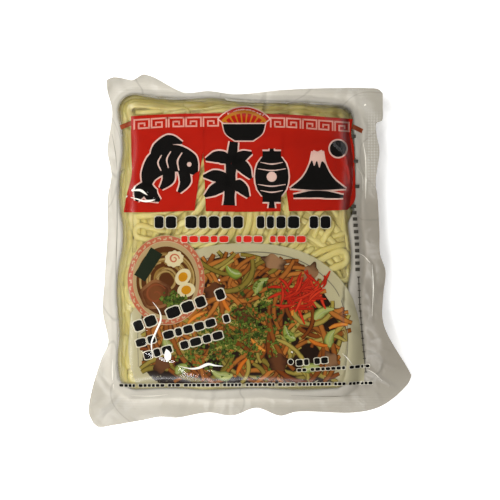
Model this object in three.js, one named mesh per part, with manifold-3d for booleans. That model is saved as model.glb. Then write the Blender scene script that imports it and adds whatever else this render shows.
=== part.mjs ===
// A sealed clear pouch of cooked wheat noodles, lying on its back with the printed side up.
// Millimetres: +X to the right, +Y towards the top seal, +Z up. The origin is under the middle
// of the pouch, on the surface that it lies on.
//
// The film has been drawn down onto a flat cake of noodles by the vacuum, so the pouch is one
// solid: a cake with rounded shoulders, the strands of its top layer standing proud under the
// film, and a wavy sealed margin of film all round it.

import * as THREE from 'three';
import { mergeVertices } from 'three/addons/utils/BufferGeometryUtils.js';
import Module from 'manifold-3d';

const { clamp, lerp, smoothstep, seededRandom } = THREE.MathUtils;

const wasm = await Module();
wasm.setup();

// The cake of noodles: its four sides, before their waves, and its height with the strands
const CAKE = { left: -65, right: 53.6, bottom: -71.3, top: 74.8 };
const CAKE_TOP_SLOPE = -0.045;
const CAKE_CORNER = 9;
const CAKE_HEIGHT = 18;
const CAKE_HOLLOWS = { depth: 1.2, lengthX: 107, lengthY: 132, phaseX: 0.5, phaseY: -0.8 };
const SIDE_WAVE = { out: 1.1, length: 44, left: 0.6, right: 2.1 };
const END_WAVE = { out: 0.55, length: 44, bottom: 1.2, top: 3.9 };
const LEFT_BULGE = { out: 2.2, at: -34, reach: 17 };

// The rounded shoulder from the flat top of the cake down to the sealed margin
const SHOULDER_IN = 8.5;
const SHOULDER_OUT = 3.5;
const SHOULDER_CROWN = 2.3;
const SHOULDER_FOOT = 1.5;

// The sealed margin: two sheets of film welded together, as high above the table as the weld
const MARGIN_HEIGHT = 8;
const MARGIN_THICK = 0.8;
const MARGIN_WAVE = { height: 1.3, lengthX: 52, lengthY: 40, phaseX: 0.4, phaseY: 2 };
const MARGIN_WAVE_REACH = 12;
const CORNER_REACH = 20;
const CORNER_LIFT = { bottomLeft: -3.6, bottomRight: 3.2, topLeft: 2.8, topRight: 0.8 };

// The cut edges of the film, each a smooth curve through these stations
const BOTTOM_EDGE = [
  [-78.6, -86.6], [-76, -88.7], [-68.8, -87.8], [-52.8, -84.8], [-44.8, -83.2],
  [-36.8, -83.7], [-20.8, -81.2], [-8.8, -82.7], [3.2, -78.8], [15.2, -82.7],
  [23.2, -80.8], [51.2, -81.2], [63.2, -78.8], [71.2, -74.2], [79.3, -66.2], [80.7, -62.6],
];
const TOP_EDGE = [
  [-71.6, 84.9], [-68.2, 86.3], [-59.8, 84.9], [-50, 83], [-32, 78.5], [-20.8, 79.4],
  [-8, 77.8], [2, 78.4], [15, 79.8], [35, 80.8], [58, 80.8], [64, 80.2], [66.2, 78.2],
];
const LEFT_EDGE = [
  [-78.6, -86.6], [-80.7, -81.5], [-79.2, -70.2], [-74.2, -54.2], [-70.9, -46.5],
  [-73.6, -31], [-72.7, -14], [-71.2, 10], [-71.2, 26], [-69.3, 37.5], [-71.2, 50],
  [-68.8, 69.5], [-71.2, 79.5], [-71.6, 84.9],
];
const RIGHT_EDGE = [
  [80.7, -62.6], [78.2, -58], [68.6, -42], [66.2, -34], [66.7, -22], [67.7, -10.5],
  [65, -2], [64.7, 10], [63.8, 26], [62.8, 34], [64.7, 50], [63.3, 58], [63.2, 63.4],
  [65.9, 64.6], [66.3, 72], [66.2, 78.2],
];

// Above the top seal the back sheet stands a little higher than the front one, near the left
const LIP_HEIGHT = 4.2;
const LIP_FROM = 0.09;
const LIP_PEAK = 0.14;
const LIP_TO = 0.3;
const LIP_ROOT = 0.93;

// The tear notch is a small wedge cut into the right edge
const NOTCH = { x: 62.4, y: 64, depth: 5, width: 1.6 };

// The mesh: rows of the film are close together over the shoulders and far apart on the cake
const EDGE_BAND = 0.14;
const EDGE_ROWS = 8;
const CAKE_COLUMNS = 11;
const CAKE_ROWS = 13;

// The strands of the top layer
const STRAND_RADIUS = 1.6;
const STRAND_PROUD = 1.05;
const STRAND_SIDES = 6;
const STRAND_PITCH = 4.2;
const STRAND_STEP = 2;
const STRAND_FACET = 6.4;
const STRAND_SHORTEST = 15;
const STRAND_LONGEST = 150;
const STRAND_LIMIT = -2.6;
const STRAND_DIVE = 2.4;
const SEED_SPACING = 5;
const SEED_SHUFFLE = 20;

// How the strands lie: swirls over the cake that turn to follow its sides near them
const SWIRL_LEAN = 0.25;
const SWIRL_BROAD = { turn: 0.75, lengthX: 145, lengthY: 232, phase: 0.7 };
const SWIRL_FINE = { turn: 0.6, lengthX: -308, lengthY: 94, phase: 0 };
const FOLLOW_FROM = -16;
const FOLLOW_TO = -5;
const SLOPE_STEP = 0.1;

const NOODLE_COLOUR = 0xb9a85f;

const curveThrough = (stations) => new THREE.CatmullRomCurve3(
  stations.map(([x, y]) => new THREE.Vector3(x, y, 0)), false, 'centripetal');

const edge = {
  bottom: curveThrough(BOTTOM_EDGE),
  top: curveThrough(TOP_EDGE),
  left: curveThrough(LEFT_EDGE),
  right: curveThrough(RIGHT_EDGE),
};

const corner = {
  bottomLeft: edge.bottom.getPoint(0),
  bottomRight: edge.bottom.getPoint(1),
  topLeft: edge.top.getPoint(0),
  topRight: edge.top.getPoint(1),
};

// A point of the flat film, u across from the left edge and v up from the bottom edge, each from
// 0 to 1. The four cut edges are blended, so the rows of points run along them.
function filmPoint(u, v) {
  const across = edge.left.getPointAt(v).lerp(edge.right.getPointAt(v), u);
  const along = edge.bottom.getPointAt(u).lerp(edge.top.getPointAt(u), v);
  const low = corner.bottomLeft.clone().lerp(corner.bottomRight, u);
  const high = corner.topLeft.clone().lerp(corner.topRight, u);
  return across.add(along).sub(low.lerp(high, v));
}

const ripple = (at, length, phase) => Math.sin((2 * Math.PI * at) / length + phase);

// Distance from the outline of the cake, below zero inside it
function cakeDistance(x, y) {
  const bulge = LEFT_BULGE.out * Math.exp(-(((y - LEFT_BULGE.at) / LEFT_BULGE.reach) ** 2));
  const left = CAKE.left - bulge + SIDE_WAVE.out * ripple(y, SIDE_WAVE.length, SIDE_WAVE.left);
  const right = CAKE.right + SIDE_WAVE.out * ripple(y, SIDE_WAVE.length, SIDE_WAVE.right);
  const bottom = CAKE.bottom + END_WAVE.out * ripple(x, END_WAVE.length, END_WAVE.bottom);
  const slant = CAKE_TOP_SLOPE * x;
  const top = CAKE.top + slant + END_WAVE.out * ripple(x, END_WAVE.length, END_WAVE.top);
  const outX = Math.max(left - x, x - right) + CAKE_CORNER;
  const outY = Math.max(bottom - y, y - top) + CAKE_CORNER;
  const rounded = Math.hypot(Math.max(outX, 0), Math.max(outY, 0));
  return rounded + Math.min(Math.max(outX, outY), 0) - CAKE_CORNER;
}

// 1 on the flat of the cake, 0 on the sealed margin, and a rounded shoulder between them
function shoulder(distance) {
  const t = clamp((distance + SHOULDER_IN) / (SHOULDER_IN + SHOULDER_OUT), 0, 1);
  return (1 - t ** SHOULDER_CROWN) ** SHOULDER_FOOT;
}

// Middle of the weld: level beside the cake, wavy towards the cut edges, curled at the corners
function marginHeight(x, y) {
  const { lengthX, lengthY, phaseX, phaseY } = MARGIN_WAVE;
  const free = smoothstep(cakeDistance(x, y), 0, MARGIN_WAVE_REACH);
  const waves = ripple(x, lengthX, phaseX) + ripple(y, lengthY, phaseY);
  let height = MARGIN_HEIGHT + free * MARGIN_WAVE.height * waves;
  for (const [name, lift] of Object.entries(CORNER_LIFT)) {
    const away = Math.hypot(x - corner[name].x, y - corner[name].y);
    height += lift * Math.exp(-((away / CORNER_REACH) ** 2));
  }
  return height;
}

function frontHeight(x, y) {
  const sheet = marginHeight(x, y) + MARGIN_THICK / 2;
  const { depth, lengthX, lengthY, phaseX, phaseY } = CAKE_HOLLOWS;
  const hollow = (depth * (1 - ripple(x, lengthX, phaseX) * ripple(y, lengthY, phaseY))) / 2;
  const crown = CAKE_HEIGHT - STRAND_PROUD - hollow;
  return lerp(sheet, crown, shoulder(cakeDistance(x, y)));
}

function backHeight(x, y) {
  const sheet = marginHeight(x, y) - MARGIN_THICK / 2;
  return lerp(sheet, 0, shoulder(cakeDistance(x, y)));
}

// How far the back sheet stands out above the front one
function lip(u, v) {
  const rise = smoothstep(u, LIP_FROM, LIP_PEAK);
  const fall = 1 - smoothstep(u, LIP_PEAK, LIP_TO);
  return LIP_HEIGHT * rise * fall * smoothstep(v, LIP_ROOT, 1);
}

// Fractions from 0 to 1, closer together in a band at each end
function stations(middleCount) {
  const values = [];
  for (let i = 0; i < EDGE_ROWS; i += 1) values.push((EDGE_BAND * i) / EDGE_ROWS);
  for (let i = 0; i <= middleCount; i += 1) {
    values.push(lerp(EDGE_BAND, 1 - EDGE_BAND, i / middleCount));
  }
  for (let i = 1; i <= EDGE_ROWS; i += 1) values.push(1 - EDGE_BAND + (EDGE_BAND * i) / EDGE_ROWS);
  return values;
}

function solidOf(geometry) {
  const bare = geometry.clone();
  bare.deleteAttribute('normal');
  bare.deleteAttribute('uv');
  const merged = mergeVertices(bare);
  const vertProperties = new Float32Array(merged.attributes.position.array);
  const triVerts = new Uint32Array(merged.index.array);
  return new wasm.Manifold(new wasm.Mesh({ numProp: 3, vertProperties, triVerts }));
}

function geometryOf(solid) {
  const mesh = solid.getMesh();
  const geometry = new THREE.BufferGeometry();
  geometry.setAttribute('position', new THREE.BufferAttribute(mesh.vertProperties, 3));
  geometry.setIndex(new THREE.BufferAttribute(mesh.triVerts, 1));
  return geometry;
}

// The front sheet and the back sheet as two grids of points, joined round their edges
function pouchBody() {
  const us = stations(CAKE_COLUMNS);
  const vs = stations(CAKE_ROWS);
  const positions = [];
  for (const v of vs) {
    for (const u of us) {
      const p = filmPoint(u, v);
      positions.push(p.x, p.y, frontHeight(p.x, p.y));
    }
  }
  for (const v of vs) {
    for (const u of us) {
      const p = filmPoint(u, v);
      const y = p.y + lip(u, v);
      positions.push(p.x, y, backHeight(p.x, y));
    }
  }

  const columns = us.length;
  const rows = vs.length;
  const front = (i, j) => j * columns + i;
  const back = (i, j) => columns * rows + front(i, j);
  const indices = [];
  for (let j = 0; j + 1 < rows; j += 1) {
    for (let i = 0; i + 1 < columns; i += 1) {
      indices.push(front(i, j), front(i + 1, j), front(i + 1, j + 1));
      indices.push(front(i, j), front(i + 1, j + 1), front(i, j + 1));
      indices.push(back(i, j), back(i + 1, j + 1), back(i + 1, j));
      indices.push(back(i, j), back(i, j + 1), back(i + 1, j + 1));
    }
  }
  const wall = (a, b) => {
    indices.push(back(...a), back(...b), front(...b));
    indices.push(back(...a), front(...b), front(...a));
  };
  for (let i = 0; i + 1 < columns; i += 1) {
    wall([i, 0], [i + 1, 0]);
    wall([i + 1, rows - 1], [i, rows - 1]);
  }
  for (let j = 0; j + 1 < rows; j += 1) {
    wall([columns - 1, j], [columns - 1, j + 1]);
    wall([0, j + 1], [0, j]);
  }

  const geometry = new THREE.BufferGeometry();
  geometry.setAttribute('position', new THREE.Float32BufferAttribute(positions, 3));
  geometry.setIndex(indices);
  return solidOf(geometry);
}

function tearNotch() {
  const outline = new THREE.Shape();
  outline.moveTo(NOTCH.x, NOTCH.y);
  outline.lineTo(NOTCH.x + NOTCH.depth, NOTCH.y - NOTCH.width);
  outline.lineTo(NOTCH.x + NOTCH.depth, NOTCH.y + NOTCH.width);
  const wedge = new THREE.ExtrudeGeometry(outline, { depth: CAKE_HEIGHT, bevelEnabled: false });
  return solidOf(wedge);
}

// The way a strand runs at a point: loose swirls over the cake, along its sides near them.
// A strand has no front end, so the two ways are mixed at twice their angle.
function strandAngle(x, y) {
  const turned = ({ turn, lengthX, lengthY, phase }) => (
    turn * Math.sin(2 * Math.PI * (x / lengthX + y / lengthY) + phase));
  const swirl = SWIRL_LEAN + turned(SWIRL_BROAD) + turned(SWIRL_FINE);
  const slopeX = cakeDistance(x + SLOPE_STEP, y) - cakeDistance(x - SLOPE_STEP, y);
  const slopeY = cakeDistance(x, y + SLOPE_STEP) - cakeDistance(x, y - SLOPE_STEP);
  const side = Math.atan2(slopeY, slopeX) + Math.PI / 2;
  const near = smoothstep(cakeDistance(x, y), FOLLOW_FROM, FOLLOW_TO);
  const mixX = lerp(Math.cos(2 * swirl), Math.cos(2 * side), near);
  const mixY = lerp(Math.sin(2 * swirl), Math.sin(2 * side), near);
  return Math.atan2(mixY, mixX) / 2;
}

// Follows the strand angle from a seed, one way, until it meets a side or another strand
function traceStrand(seed, facing, isFree) {
  const points = [];
  let { x, y } = seed;
  let heading = strandAngle(x, y) + facing;
  while (points.length * STRAND_STEP < STRAND_LONGEST / 2) {
    const angle = strandAngle(x, y);
    heading = Math.cos(angle - heading) < 0 ? angle + Math.PI : angle;
    x += STRAND_STEP * Math.cos(heading);
    y += STRAND_STEP * Math.sin(heading);
    if (cakeDistance(x, y) > STRAND_LIMIT || !isFree(x, y)) break;
    points.push(new THREE.Vector2(x, y));
  }
  return points;
}

// Seeds from all over the cake in a shuffled order, so that the strands are spread evenly
function seedPoints() {
  const seeds = [];
  for (let x = CAKE.left; x < CAKE.right; x += SEED_SPACING) {
    for (let y = CAKE.bottom; y < CAKE.top; y += SEED_SPACING) {
      if (cakeDistance(x, y) < STRAND_LIMIT) seeds.push({ x, y, order: seededRandom() });
    }
  }
  return seeds.sort((a, b) => a.order - b.order);
}

function strandRoutes() {
  seededRandom(SEED_SHUFFLE);
  const routes = [];
  const isFree = (x, y) => !routes.flat().some(
    (p) => Math.hypot(p.x - x, p.y - y) < STRAND_PITCH);
  for (const seed of seedPoints()) {
    if (!isFree(seed.x, seed.y)) continue;
    const back = traceStrand(seed, Math.PI, isFree).reverse();
    const ahead = traceStrand(seed, 0, isFree);
    const route = [...back, new THREE.Vector2(seed.x, seed.y), ...ahead];
    if (route.length * STRAND_STEP >= STRAND_SHORTEST) routes.push(route);
  }
  return routes;
}

// One noodle: a six-sided rope half sunk in the cake, with its two ends turned down into it
function strand(route) {
  const sunk = STRAND_RADIUS - STRAND_PROUD;
  const last = route.length - 1;
  const path = new THREE.CatmullRomCurve3(route.map((p, i) => {
    const dive = i === 0 || i === last ? STRAND_DIVE : 0;
    return new THREE.Vector3(p.x, p.y, frontHeight(p.x, p.y) - sunk - dive);
  }));
  const rim = [];
  for (let i = 0; i < STRAND_SIDES; i += 1) {
    const turn = (2 * Math.PI * i) / STRAND_SIDES;
    rim.push(new THREE.Vector2(STRAND_RADIUS * Math.cos(turn), STRAND_RADIUS * Math.sin(turn)));
  }
  const steps = Math.ceil((route.length * STRAND_STEP) / STRAND_FACET);
  const shape = new THREE.Shape(rim);
  return solidOf(new THREE.ExtrudeGeometry(shape, { steps, extrudePath: path }));
}

function pouch() {
  let solid = pouchBody().subtract(tearNotch());
  for (const route of strandRoutes()) solid = solid.add(strand(route));
  const material = new THREE.MeshStandardMaterial({
    color: NOODLE_COLOUR,
    roughness: 0.3,
    metalness: 0,
  });
  const mesh = new THREE.Mesh(geometryOf(solid), material);
  mesh.name = 'noodle_pouch';
  return mesh;
}

// The pouch is moved so that the origin is under the middle of it
const mesh = pouch();
const box = new THREE.Box3().setFromObject(mesh);
const middle = box.getCenter(new THREE.Vector3());
mesh.position.set(-middle.x, -middle.y, -box.min.z);

const noodlePouch = new THREE.Group();
noodlePouch.add(mesh);

export default noodlePouch;
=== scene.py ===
import itertools
import math
import random

import bpy
import numpy as np
from mathutils import Matrix, Vector


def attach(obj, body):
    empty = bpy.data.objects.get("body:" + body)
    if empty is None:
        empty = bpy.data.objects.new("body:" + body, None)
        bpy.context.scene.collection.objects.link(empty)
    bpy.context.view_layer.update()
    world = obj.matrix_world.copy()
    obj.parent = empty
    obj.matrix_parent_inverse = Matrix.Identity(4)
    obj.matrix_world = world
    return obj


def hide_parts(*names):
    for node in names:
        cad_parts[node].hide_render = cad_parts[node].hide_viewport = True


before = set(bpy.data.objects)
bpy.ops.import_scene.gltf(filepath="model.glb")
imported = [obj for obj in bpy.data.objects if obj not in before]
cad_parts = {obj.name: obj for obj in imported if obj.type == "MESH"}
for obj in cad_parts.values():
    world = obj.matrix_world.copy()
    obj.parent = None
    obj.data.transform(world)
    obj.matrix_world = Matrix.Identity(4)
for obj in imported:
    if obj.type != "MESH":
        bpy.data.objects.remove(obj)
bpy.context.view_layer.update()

# The middle of the noodle cake
# Cooked wheat noodles that the vacuum has pressed into a flat cake. Only the gaps between the
# outer strands show this middle, so it is one block: a cube that is rounded, cut fine and left
# as uneven as a pressed mass of noodles.

MM = 0.001
# From the middle of the noodle cake's own measures to the middle of the film's outline.
FRAME_SHIFT = (0.028 * MM, 0.484 * MM, 0)
CORE_LOW = (-61.5, -68.5, 3.4)
CORE_HIGH = (50.5, 72.5, 13.3)
CORE_ROUND = 4.5
CORE_CUTS = 14
CORE_UNEVEN = 0.5


def linear(hex_colour):
    """An sRGB colour such as "c7ba77" as linear red, green, blue and alpha."""
    channels = [int(hex_colour[i:i + 2], 16) / 255 for i in (0, 2, 4)]
    return [c / 12.92 if c <= 0.04045 else ((c + 0.055) / 1.055) ** 2.4 for c in channels] + [1.0]


def add_node(tree, kind, inputs=None, **settings):
    """Adds one shader node. An input is a value, a socket, or a node for its first socket."""
    node = tree.nodes.new("ShaderNode" + kind)
    for name, value in settings.items():
        setattr(node, name, value)
    for name, value in (inputs or {}).items():
        if isinstance(value, bpy.types.Node):
            value = next(socket for socket in value.outputs if socket.enabled)
        if isinstance(value, bpy.types.NodeSocket):
            tree.links.new(value, node.inputs[name])
        else:
            node.inputs[name].default_value = value
    return node


def new_material(name):
    """An empty node material and its tree."""
    material = bpy.data.materials.new(name)
    material.use_nodes = True
    material.node_tree.nodes.clear()
    return material, material.node_tree


def mottled_material(name, colours, scale, detail, finish):
    """Two colours in soft clouds, on a surface with the finish given."""
    material, tree = new_material(name)
    place = add_node(tree, "TexCoord").outputs["Object"]
    clouds = add_node(tree, "TexNoise", {"Vector": place, "Scale": scale, "Detail": detail})
    tint = add_node(tree, "Mix", {
        "Factor": clouds, "A": linear(colours[0]), "B": linear(colours[1])}, data_type="RGBA")
    surface = add_node(tree, "BsdfPrincipled", {"Base Color": tint, **finish})
    add_node(tree, "OutputMaterial", {"Surface": surface})
    return material


def pack_piece(piece):
    """Every piece lies in the one body of the pouch, whose middle is the origin."""
    piece.data.transform(Matrix.Translation(FRAME_SHIFT))
    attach(piece, "root")


bpy.ops.object.select_all(action="DESELECT")
core_size = [(high - low) * MM for low, high in zip(CORE_LOW, CORE_HIGH)]
core_middle = [(high + low) / 2 * MM for low, high in zip(CORE_LOW, CORE_HIGH)]
bpy.ops.mesh.primitive_cube_add(size=1, location=core_middle, scale=core_size)
core = bpy.context.object
core.name = "noodle_cake_middle"
bpy.ops.object.transform_apply(location=True, rotation=False, scale=True)
rounding = core.modifiers.new("rounding", "BEVEL")
rounding.width = CORE_ROUND * MM
rounding.segments = 4
bpy.ops.object.modifier_apply(modifier="rounding")
bpy.ops.object.mode_set(mode="EDIT")
bpy.ops.mesh.select_all(action="SELECT")
bpy.ops.mesh.subdivide(number_cuts=CORE_CUTS)
bpy.ops.transform.vertex_random(offset=CORE_UNEVEN * MM, seed=4)
bpy.ops.mesh.normals_make_consistent(inside=False)
bpy.ops.object.mode_set(mode="OBJECT")
bpy.ops.object.shade_smooth()
# Starch-wet noodle deep in the cake: what light reaches it comes back dark and warm.
core.data.materials.append(mottled_material(
    "noodle_in_shadow", ("b0a05c", "c8b976"), 260.0, 3.0, {"Roughness": 0.5, "IOR": 1.4}))
pack_piece(core)

# The strands of the front layer
# Thick steamed wheat noodles, nearly square in section with soft corners, laid in swirls that
# turn along the sides of the cake. Each is a rope of rings swept along its own route. The routes
# keep an even distance, and a strand turns down into the cake at each end.

CAKE_LEFT = -65.0
CAKE_RIGHT = 53.6
CAKE_BOTTOM = -71.3
CAKE_TOP = 74.8
CAKE_TOP_SLOPE = -0.045
CAKE_CORNER = 9.0
CAKE_HEIGHT = 18.0
HOLLOW_DEPTH = 1.2
HOLLOW_LENGTHS = (107.0, 132.0)
HOLLOW_PHASES = (0.5, -0.8)
SIDE_WAVE = 1.1
END_WAVE = 0.55
SIDE_WAVE_LENGTH = 44.0
SIDE_PHASES = {"left": 0.6, "right": 2.1, "bottom": 1.2, "top": 3.9}
BULGE_OUT = 2.2
BULGE_AT = -34.0
BULGE_REACH = 17.0
SHOULDER_IN = 8.5
SHOULDER_OUT = 3.5
SHOULDER_CROWN = 2.3
SHOULDER_FOOT = 1.5
MARGIN_HEIGHT = 8.0

NOODLE_WIDE = 3.5
NOODLE_THICK = 2.7
NOODLE_SIDES = 10
NOODLE_SQUARE = 0.78
NOODLE_PITCH = 2.6
NOODLE_ROLL = 0.45
NOODLE_SWELL = 0.06
NOODLE_SIZES = (0.88, 1.08)
NOODLE_END = 0.55
TRACE_STEP = 1.5
STRAND_LIMIT = -1.8
STRAND_LENGTHS = (14, 170)
FILM_TO_NOODLE = 1.2
END_DIVE = 1.5
END_LENGTH = 5.0
# Strands that turn back on themselves: middle, radius, the way that they open and leg length.
TURNED_BACK = [
    ((45.0, -4.0), 3.4, 200, 16), ((46.5, -12.5), 3.0, 165, 13), ((45.5, -20.5), 3.2, 190, 18),
    ((44.0, -30.0), 3.4, 215, 12), ((-54.0, 9.0), 3.2, -20, 14), ((38.0, 12.5), 2.9, 230, 10)]
LEG_SWAY = (2.2, 3.0)


def ripple(at, length, phase):
    return np.sin(2 * np.pi * at / length + phase)


def ease(value, low, high):
    """0 below low, 1 above high, and smooth between them."""
    t = np.clip((value - low) / (high - low), 0, 1)
    return t * t * (3 - 2 * t)


def cake_distance(x, y):
    """Millimetres outside the outline of the noodle cake, below zero inside it."""
    wave = {name: ripple(at, SIDE_WAVE_LENGTH, SIDE_PHASES[name]) for name, at in
            (("left", y), ("right", y), ("bottom", x), ("top", x))}
    bulge = BULGE_OUT * np.exp(-((y - BULGE_AT) / BULGE_REACH) ** 2)
    left = CAKE_LEFT - bulge + SIDE_WAVE * wave["left"]
    right = CAKE_RIGHT + SIDE_WAVE * wave["right"]
    bottom = CAKE_BOTTOM + END_WAVE * wave["bottom"]
    top = CAKE_TOP + CAKE_TOP_SLOPE * x + END_WAVE * wave["top"]
    out_x = np.maximum(left - x, x - right) + CAKE_CORNER
    out_y = np.maximum(bottom - y, y - top) + CAKE_CORNER
    rounded = np.hypot(np.maximum(out_x, 0), np.maximum(out_y, 0))
    return rounded + np.minimum(np.maximum(out_x, out_y), 0) - CAKE_CORNER


def shoulder(distance):
    """1 on the flat of the cake, 0 on the welded margin, and rounded between them."""
    t = np.clip((distance + SHOULDER_IN) / (SHOULDER_IN + SHOULDER_OUT), 0, 1)
    return (1 - t ** SHOULDER_CROWN) ** SHOULDER_FOOT


def crown_height(x, y):
    """The front of the pouch over the cake, with its shallow hollows and rounded shoulders."""
    waves = [ripple(at, length, phase)
             for at, length, phase in zip((x, y), HOLLOW_LENGTHS, HOLLOW_PHASES)]
    crown = CAKE_HEIGHT - HOLLOW_DEPTH * (1 - waves[0] * waves[1]) / 2
    return MARGIN_HEIGHT + (crown - MARGIN_HEIGHT) * shoulder(cake_distance(x, y))


def crown_over_strand(x, y):
    """The lowest that the crown is over the width of a strand."""
    half = NOODLE_WIDE * 0.4
    return np.min([crown_height(x + half * i, y + half * j)
                   for i, j in ((0, 0), (1, 0), (-1, 0), (0, 1), (0, -1))], axis=0)


def front_swirl(x, y):
    """The way a front strand runs, before it follows a side."""
    broad = 0.75 * np.sin(2 * np.pi * (x / 145 + y / 232) + 0.7)
    fine = 0.6 * np.sin(2 * np.pi * (y / 94 - x / 308))
    return 0.25 + broad + fine


def strand_angle(x, y, swirl):
    """Mixes the swirl with the way of the nearest side, at twice their angle."""
    step = 0.1
    slope_x = cake_distance(x + step, y) - cake_distance(x - step, y)
    slope_y = cake_distance(x, y + step) - cake_distance(x, y - step)
    side = math.atan2(slope_y, slope_x) + math.pi / 2
    near = ease(cake_distance(x, y), -11, -3)
    turned = swirl(x, y)
    mix_x = (1 - near) * math.cos(2 * turned) + near * math.cos(2 * side)
    mix_y = (1 - near) * math.sin(2 * turned) + near * math.sin(2 * side)
    return math.atan2(mix_y, mix_x) / 2


def trace_strand(start, facing, swirl, is_free, limit):
    """Follows the strand's way from its start until it meets a side or another strand."""
    x, y = start
    heading = strand_angle(x, y, swirl) + facing
    points = []
    while len(points) * TRACE_STEP < STRAND_LENGTHS[1] / 2:
        angle = strand_angle(x, y, swirl)
        heading = angle + math.pi if math.cos(angle - heading) < 0 else angle
        x += TRACE_STEP * math.cos(heading)
        y += TRACE_STEP * math.sin(heading)
        if cake_distance(x, y) > limit or not is_free(x, y):
            break
        points.append((x, y))
    return points


def turned_back(middle, radius, opens, leg):
    """A route that runs in, round half a turn and out again, opening at an angle in degrees."""
    way = math.radians(opens)
    turns = np.arange(way + math.pi / 2, way + math.pi * 3 / 2, TRACE_STEP / radius)
    bend = np.array(middle) + radius * np.stack([np.cos(turns), np.sin(turns)], 1)
    reach = np.arange(TRACE_STEP, leg, TRACE_STEP)[:, None]
    straight = reach * np.array([math.cos(way), math.sin(way)])
    sway = (reach / leg) ** 2 * np.array([-math.sin(way), math.cos(way)])
    return np.concatenate([(bend[0] + straight + LEG_SWAY[0] * sway)[::-1], bend,
                           bend[-1] + straight + LEG_SWAY[1] * sway])


def spread_strands(swirl, pitch, seed, placed=(), limit=STRAND_LIMIT):
    """Routes that fill the cake's outline at an even pitch, from seeds in a shuffled order."""
    draw = random.Random(seed)
    taken = {}
    routes = []

    def is_free(x, y):
        column, row = int(x // pitch), int(y // pitch)
        return all(math.hypot(px - x, py - y) >= pitch
                   for i, j in itertools.product((-1, 0, 1), repeat=2)
                   for px, py in taken.get((column + i, row + j), ()))

    def keep(route):
        routes.append(np.array(route))
        for px, py in route:
            taken.setdefault((int(px // pitch), int(py // pitch)), []).append((px, py))

    for route in placed:
        middle = len(route) // 2
        open_ways = [list(itertools.takewhile(lambda point: is_free(*point), way))
                     for way in (route[middle::-1], route[middle + 1:])]
        keep(open_ways[0][::-1] + open_ways[1])

    seeds = [(x, y) for x in np.arange(CAKE_LEFT, CAKE_RIGHT, pitch)
             for y in np.arange(CAKE_BOTTOM, CAKE_TOP, pitch) if cake_distance(x, y) < limit]
    draw.shuffle(seeds)
    for start in seeds:
        if is_free(*start):
            back, ahead = [trace_strand(start, facing, swirl, is_free, limit)
                           for facing in (math.pi, 0)]
            route = back[::-1] + [start] + ahead
            if len(route) * TRACE_STEP >= STRAND_LENGTHS[0]:
                keep(route)
    return routes


def new_piece(name, points, faces, **values):
    """A smooth mesh piece, selected and active. Each of the values is one number a point."""
    mesh = bpy.data.meshes.new(name)
    mesh.from_pydata((np.concatenate(points) * MM).tolist(), [], faces)
    for label, parts in values.items():
        layer = mesh.attributes.new(label, "FLOAT", "POINT")
        layer.data.foreach_set("value", np.concatenate(parts).astype(np.float32))
    piece = bpy.data.objects.new(name, mesh)
    bpy.context.collection.objects.link(piece)
    bpy.ops.object.select_all(action="DESELECT")
    piece.select_set(True)
    bpy.context.view_layer.objects.active = piece
    bpy.ops.object.shade_smooth()
    return piece


def strand_piece(name, centres, seed):
    """One piece of ropes, each swept along its line of centres, with a tone of its own."""
    draw = np.random.default_rng(seed)
    turns = np.linspace(0, 2 * np.pi, NOODLE_SIDES, endpoint=False)
    rim_x = np.sign(np.cos(turns)) * np.abs(np.cos(turns)) ** NOODLE_SQUARE
    rim_z = np.sign(np.sin(turns)) * np.abs(np.sin(turns)) ** NOODLE_SQUARE
    points, faces, tones = [], [], []
    first = 0
    for centre in centres:
        along = np.gradient(centre, axis=0)
        along /= np.linalg.norm(along, axis=1)[:, None]
        side = np.cross(along, (0, 0, 1))
        side /= np.linalg.norm(side, axis=1)[:, None]
        up = np.cross(side, along)
        count = len(centre)
        reach = np.arange(count) * TRACE_STEP
        roll = NOODLE_ROLL * ripple(reach, draw.uniform(30, 60), draw.uniform(0, 6))
        swell = 1 + NOODLE_SWELL * ripple(reach, draw.uniform(9, 20), draw.uniform(0, 6))
        swell *= draw.uniform(*NOODLE_SIZES)
        swell[[0, -1]] *= NOODLE_END
        spin_x = rim_x[None] * np.cos(roll)[:, None] - rim_z[None] * np.sin(roll)[:, None]
        spin_z = rim_x[None] * np.sin(roll)[:, None] + rim_z[None] * np.cos(roll)[:, None]
        rings = (centre[:, None]
                 + side[:, None] * (spin_x * (swell * NOODLE_WIDE / 2)[:, None])[..., None]
                 + up[:, None] * (spin_z * (swell * NOODLE_THICK / 2)[:, None])[..., None])
        points.append(rings.reshape(-1, 3))
        i, j = np.meshgrid(np.arange(count - 1), np.arange(NOODLE_SIDES), indexing="ij")
        a = first + i * NOODLE_SIDES + j
        b = first + i * NOODLE_SIDES + (j + 1) % NOODLE_SIDES
        quads = np.stack([a, b, b + NOODLE_SIDES, a + NOODLE_SIDES], -1).reshape(-1, 4)
        faces.extend(quads.tolist())
        last = first + (count - 1) * NOODLE_SIDES
        faces.append(list(range(first, first + NOODLE_SIDES))[::-1])
        faces.append(list(range(last, last + NOODLE_SIDES)))
        tones.append(np.full(count * NOODLE_SIDES, draw.uniform(0, 1)))
        first += count * NOODLE_SIDES
    piece = new_piece(name, points, faces, tone=tones)
    bpy.ops.object.mode_set(mode="EDIT")
    bpy.ops.mesh.select_all(action="SELECT")
    bpy.ops.mesh.normals_make_consistent(inside=False)
    bpy.ops.object.mode_set(mode="OBJECT")
    piece.data.materials.append(noodle)
    pack_piece(piece)


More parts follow.
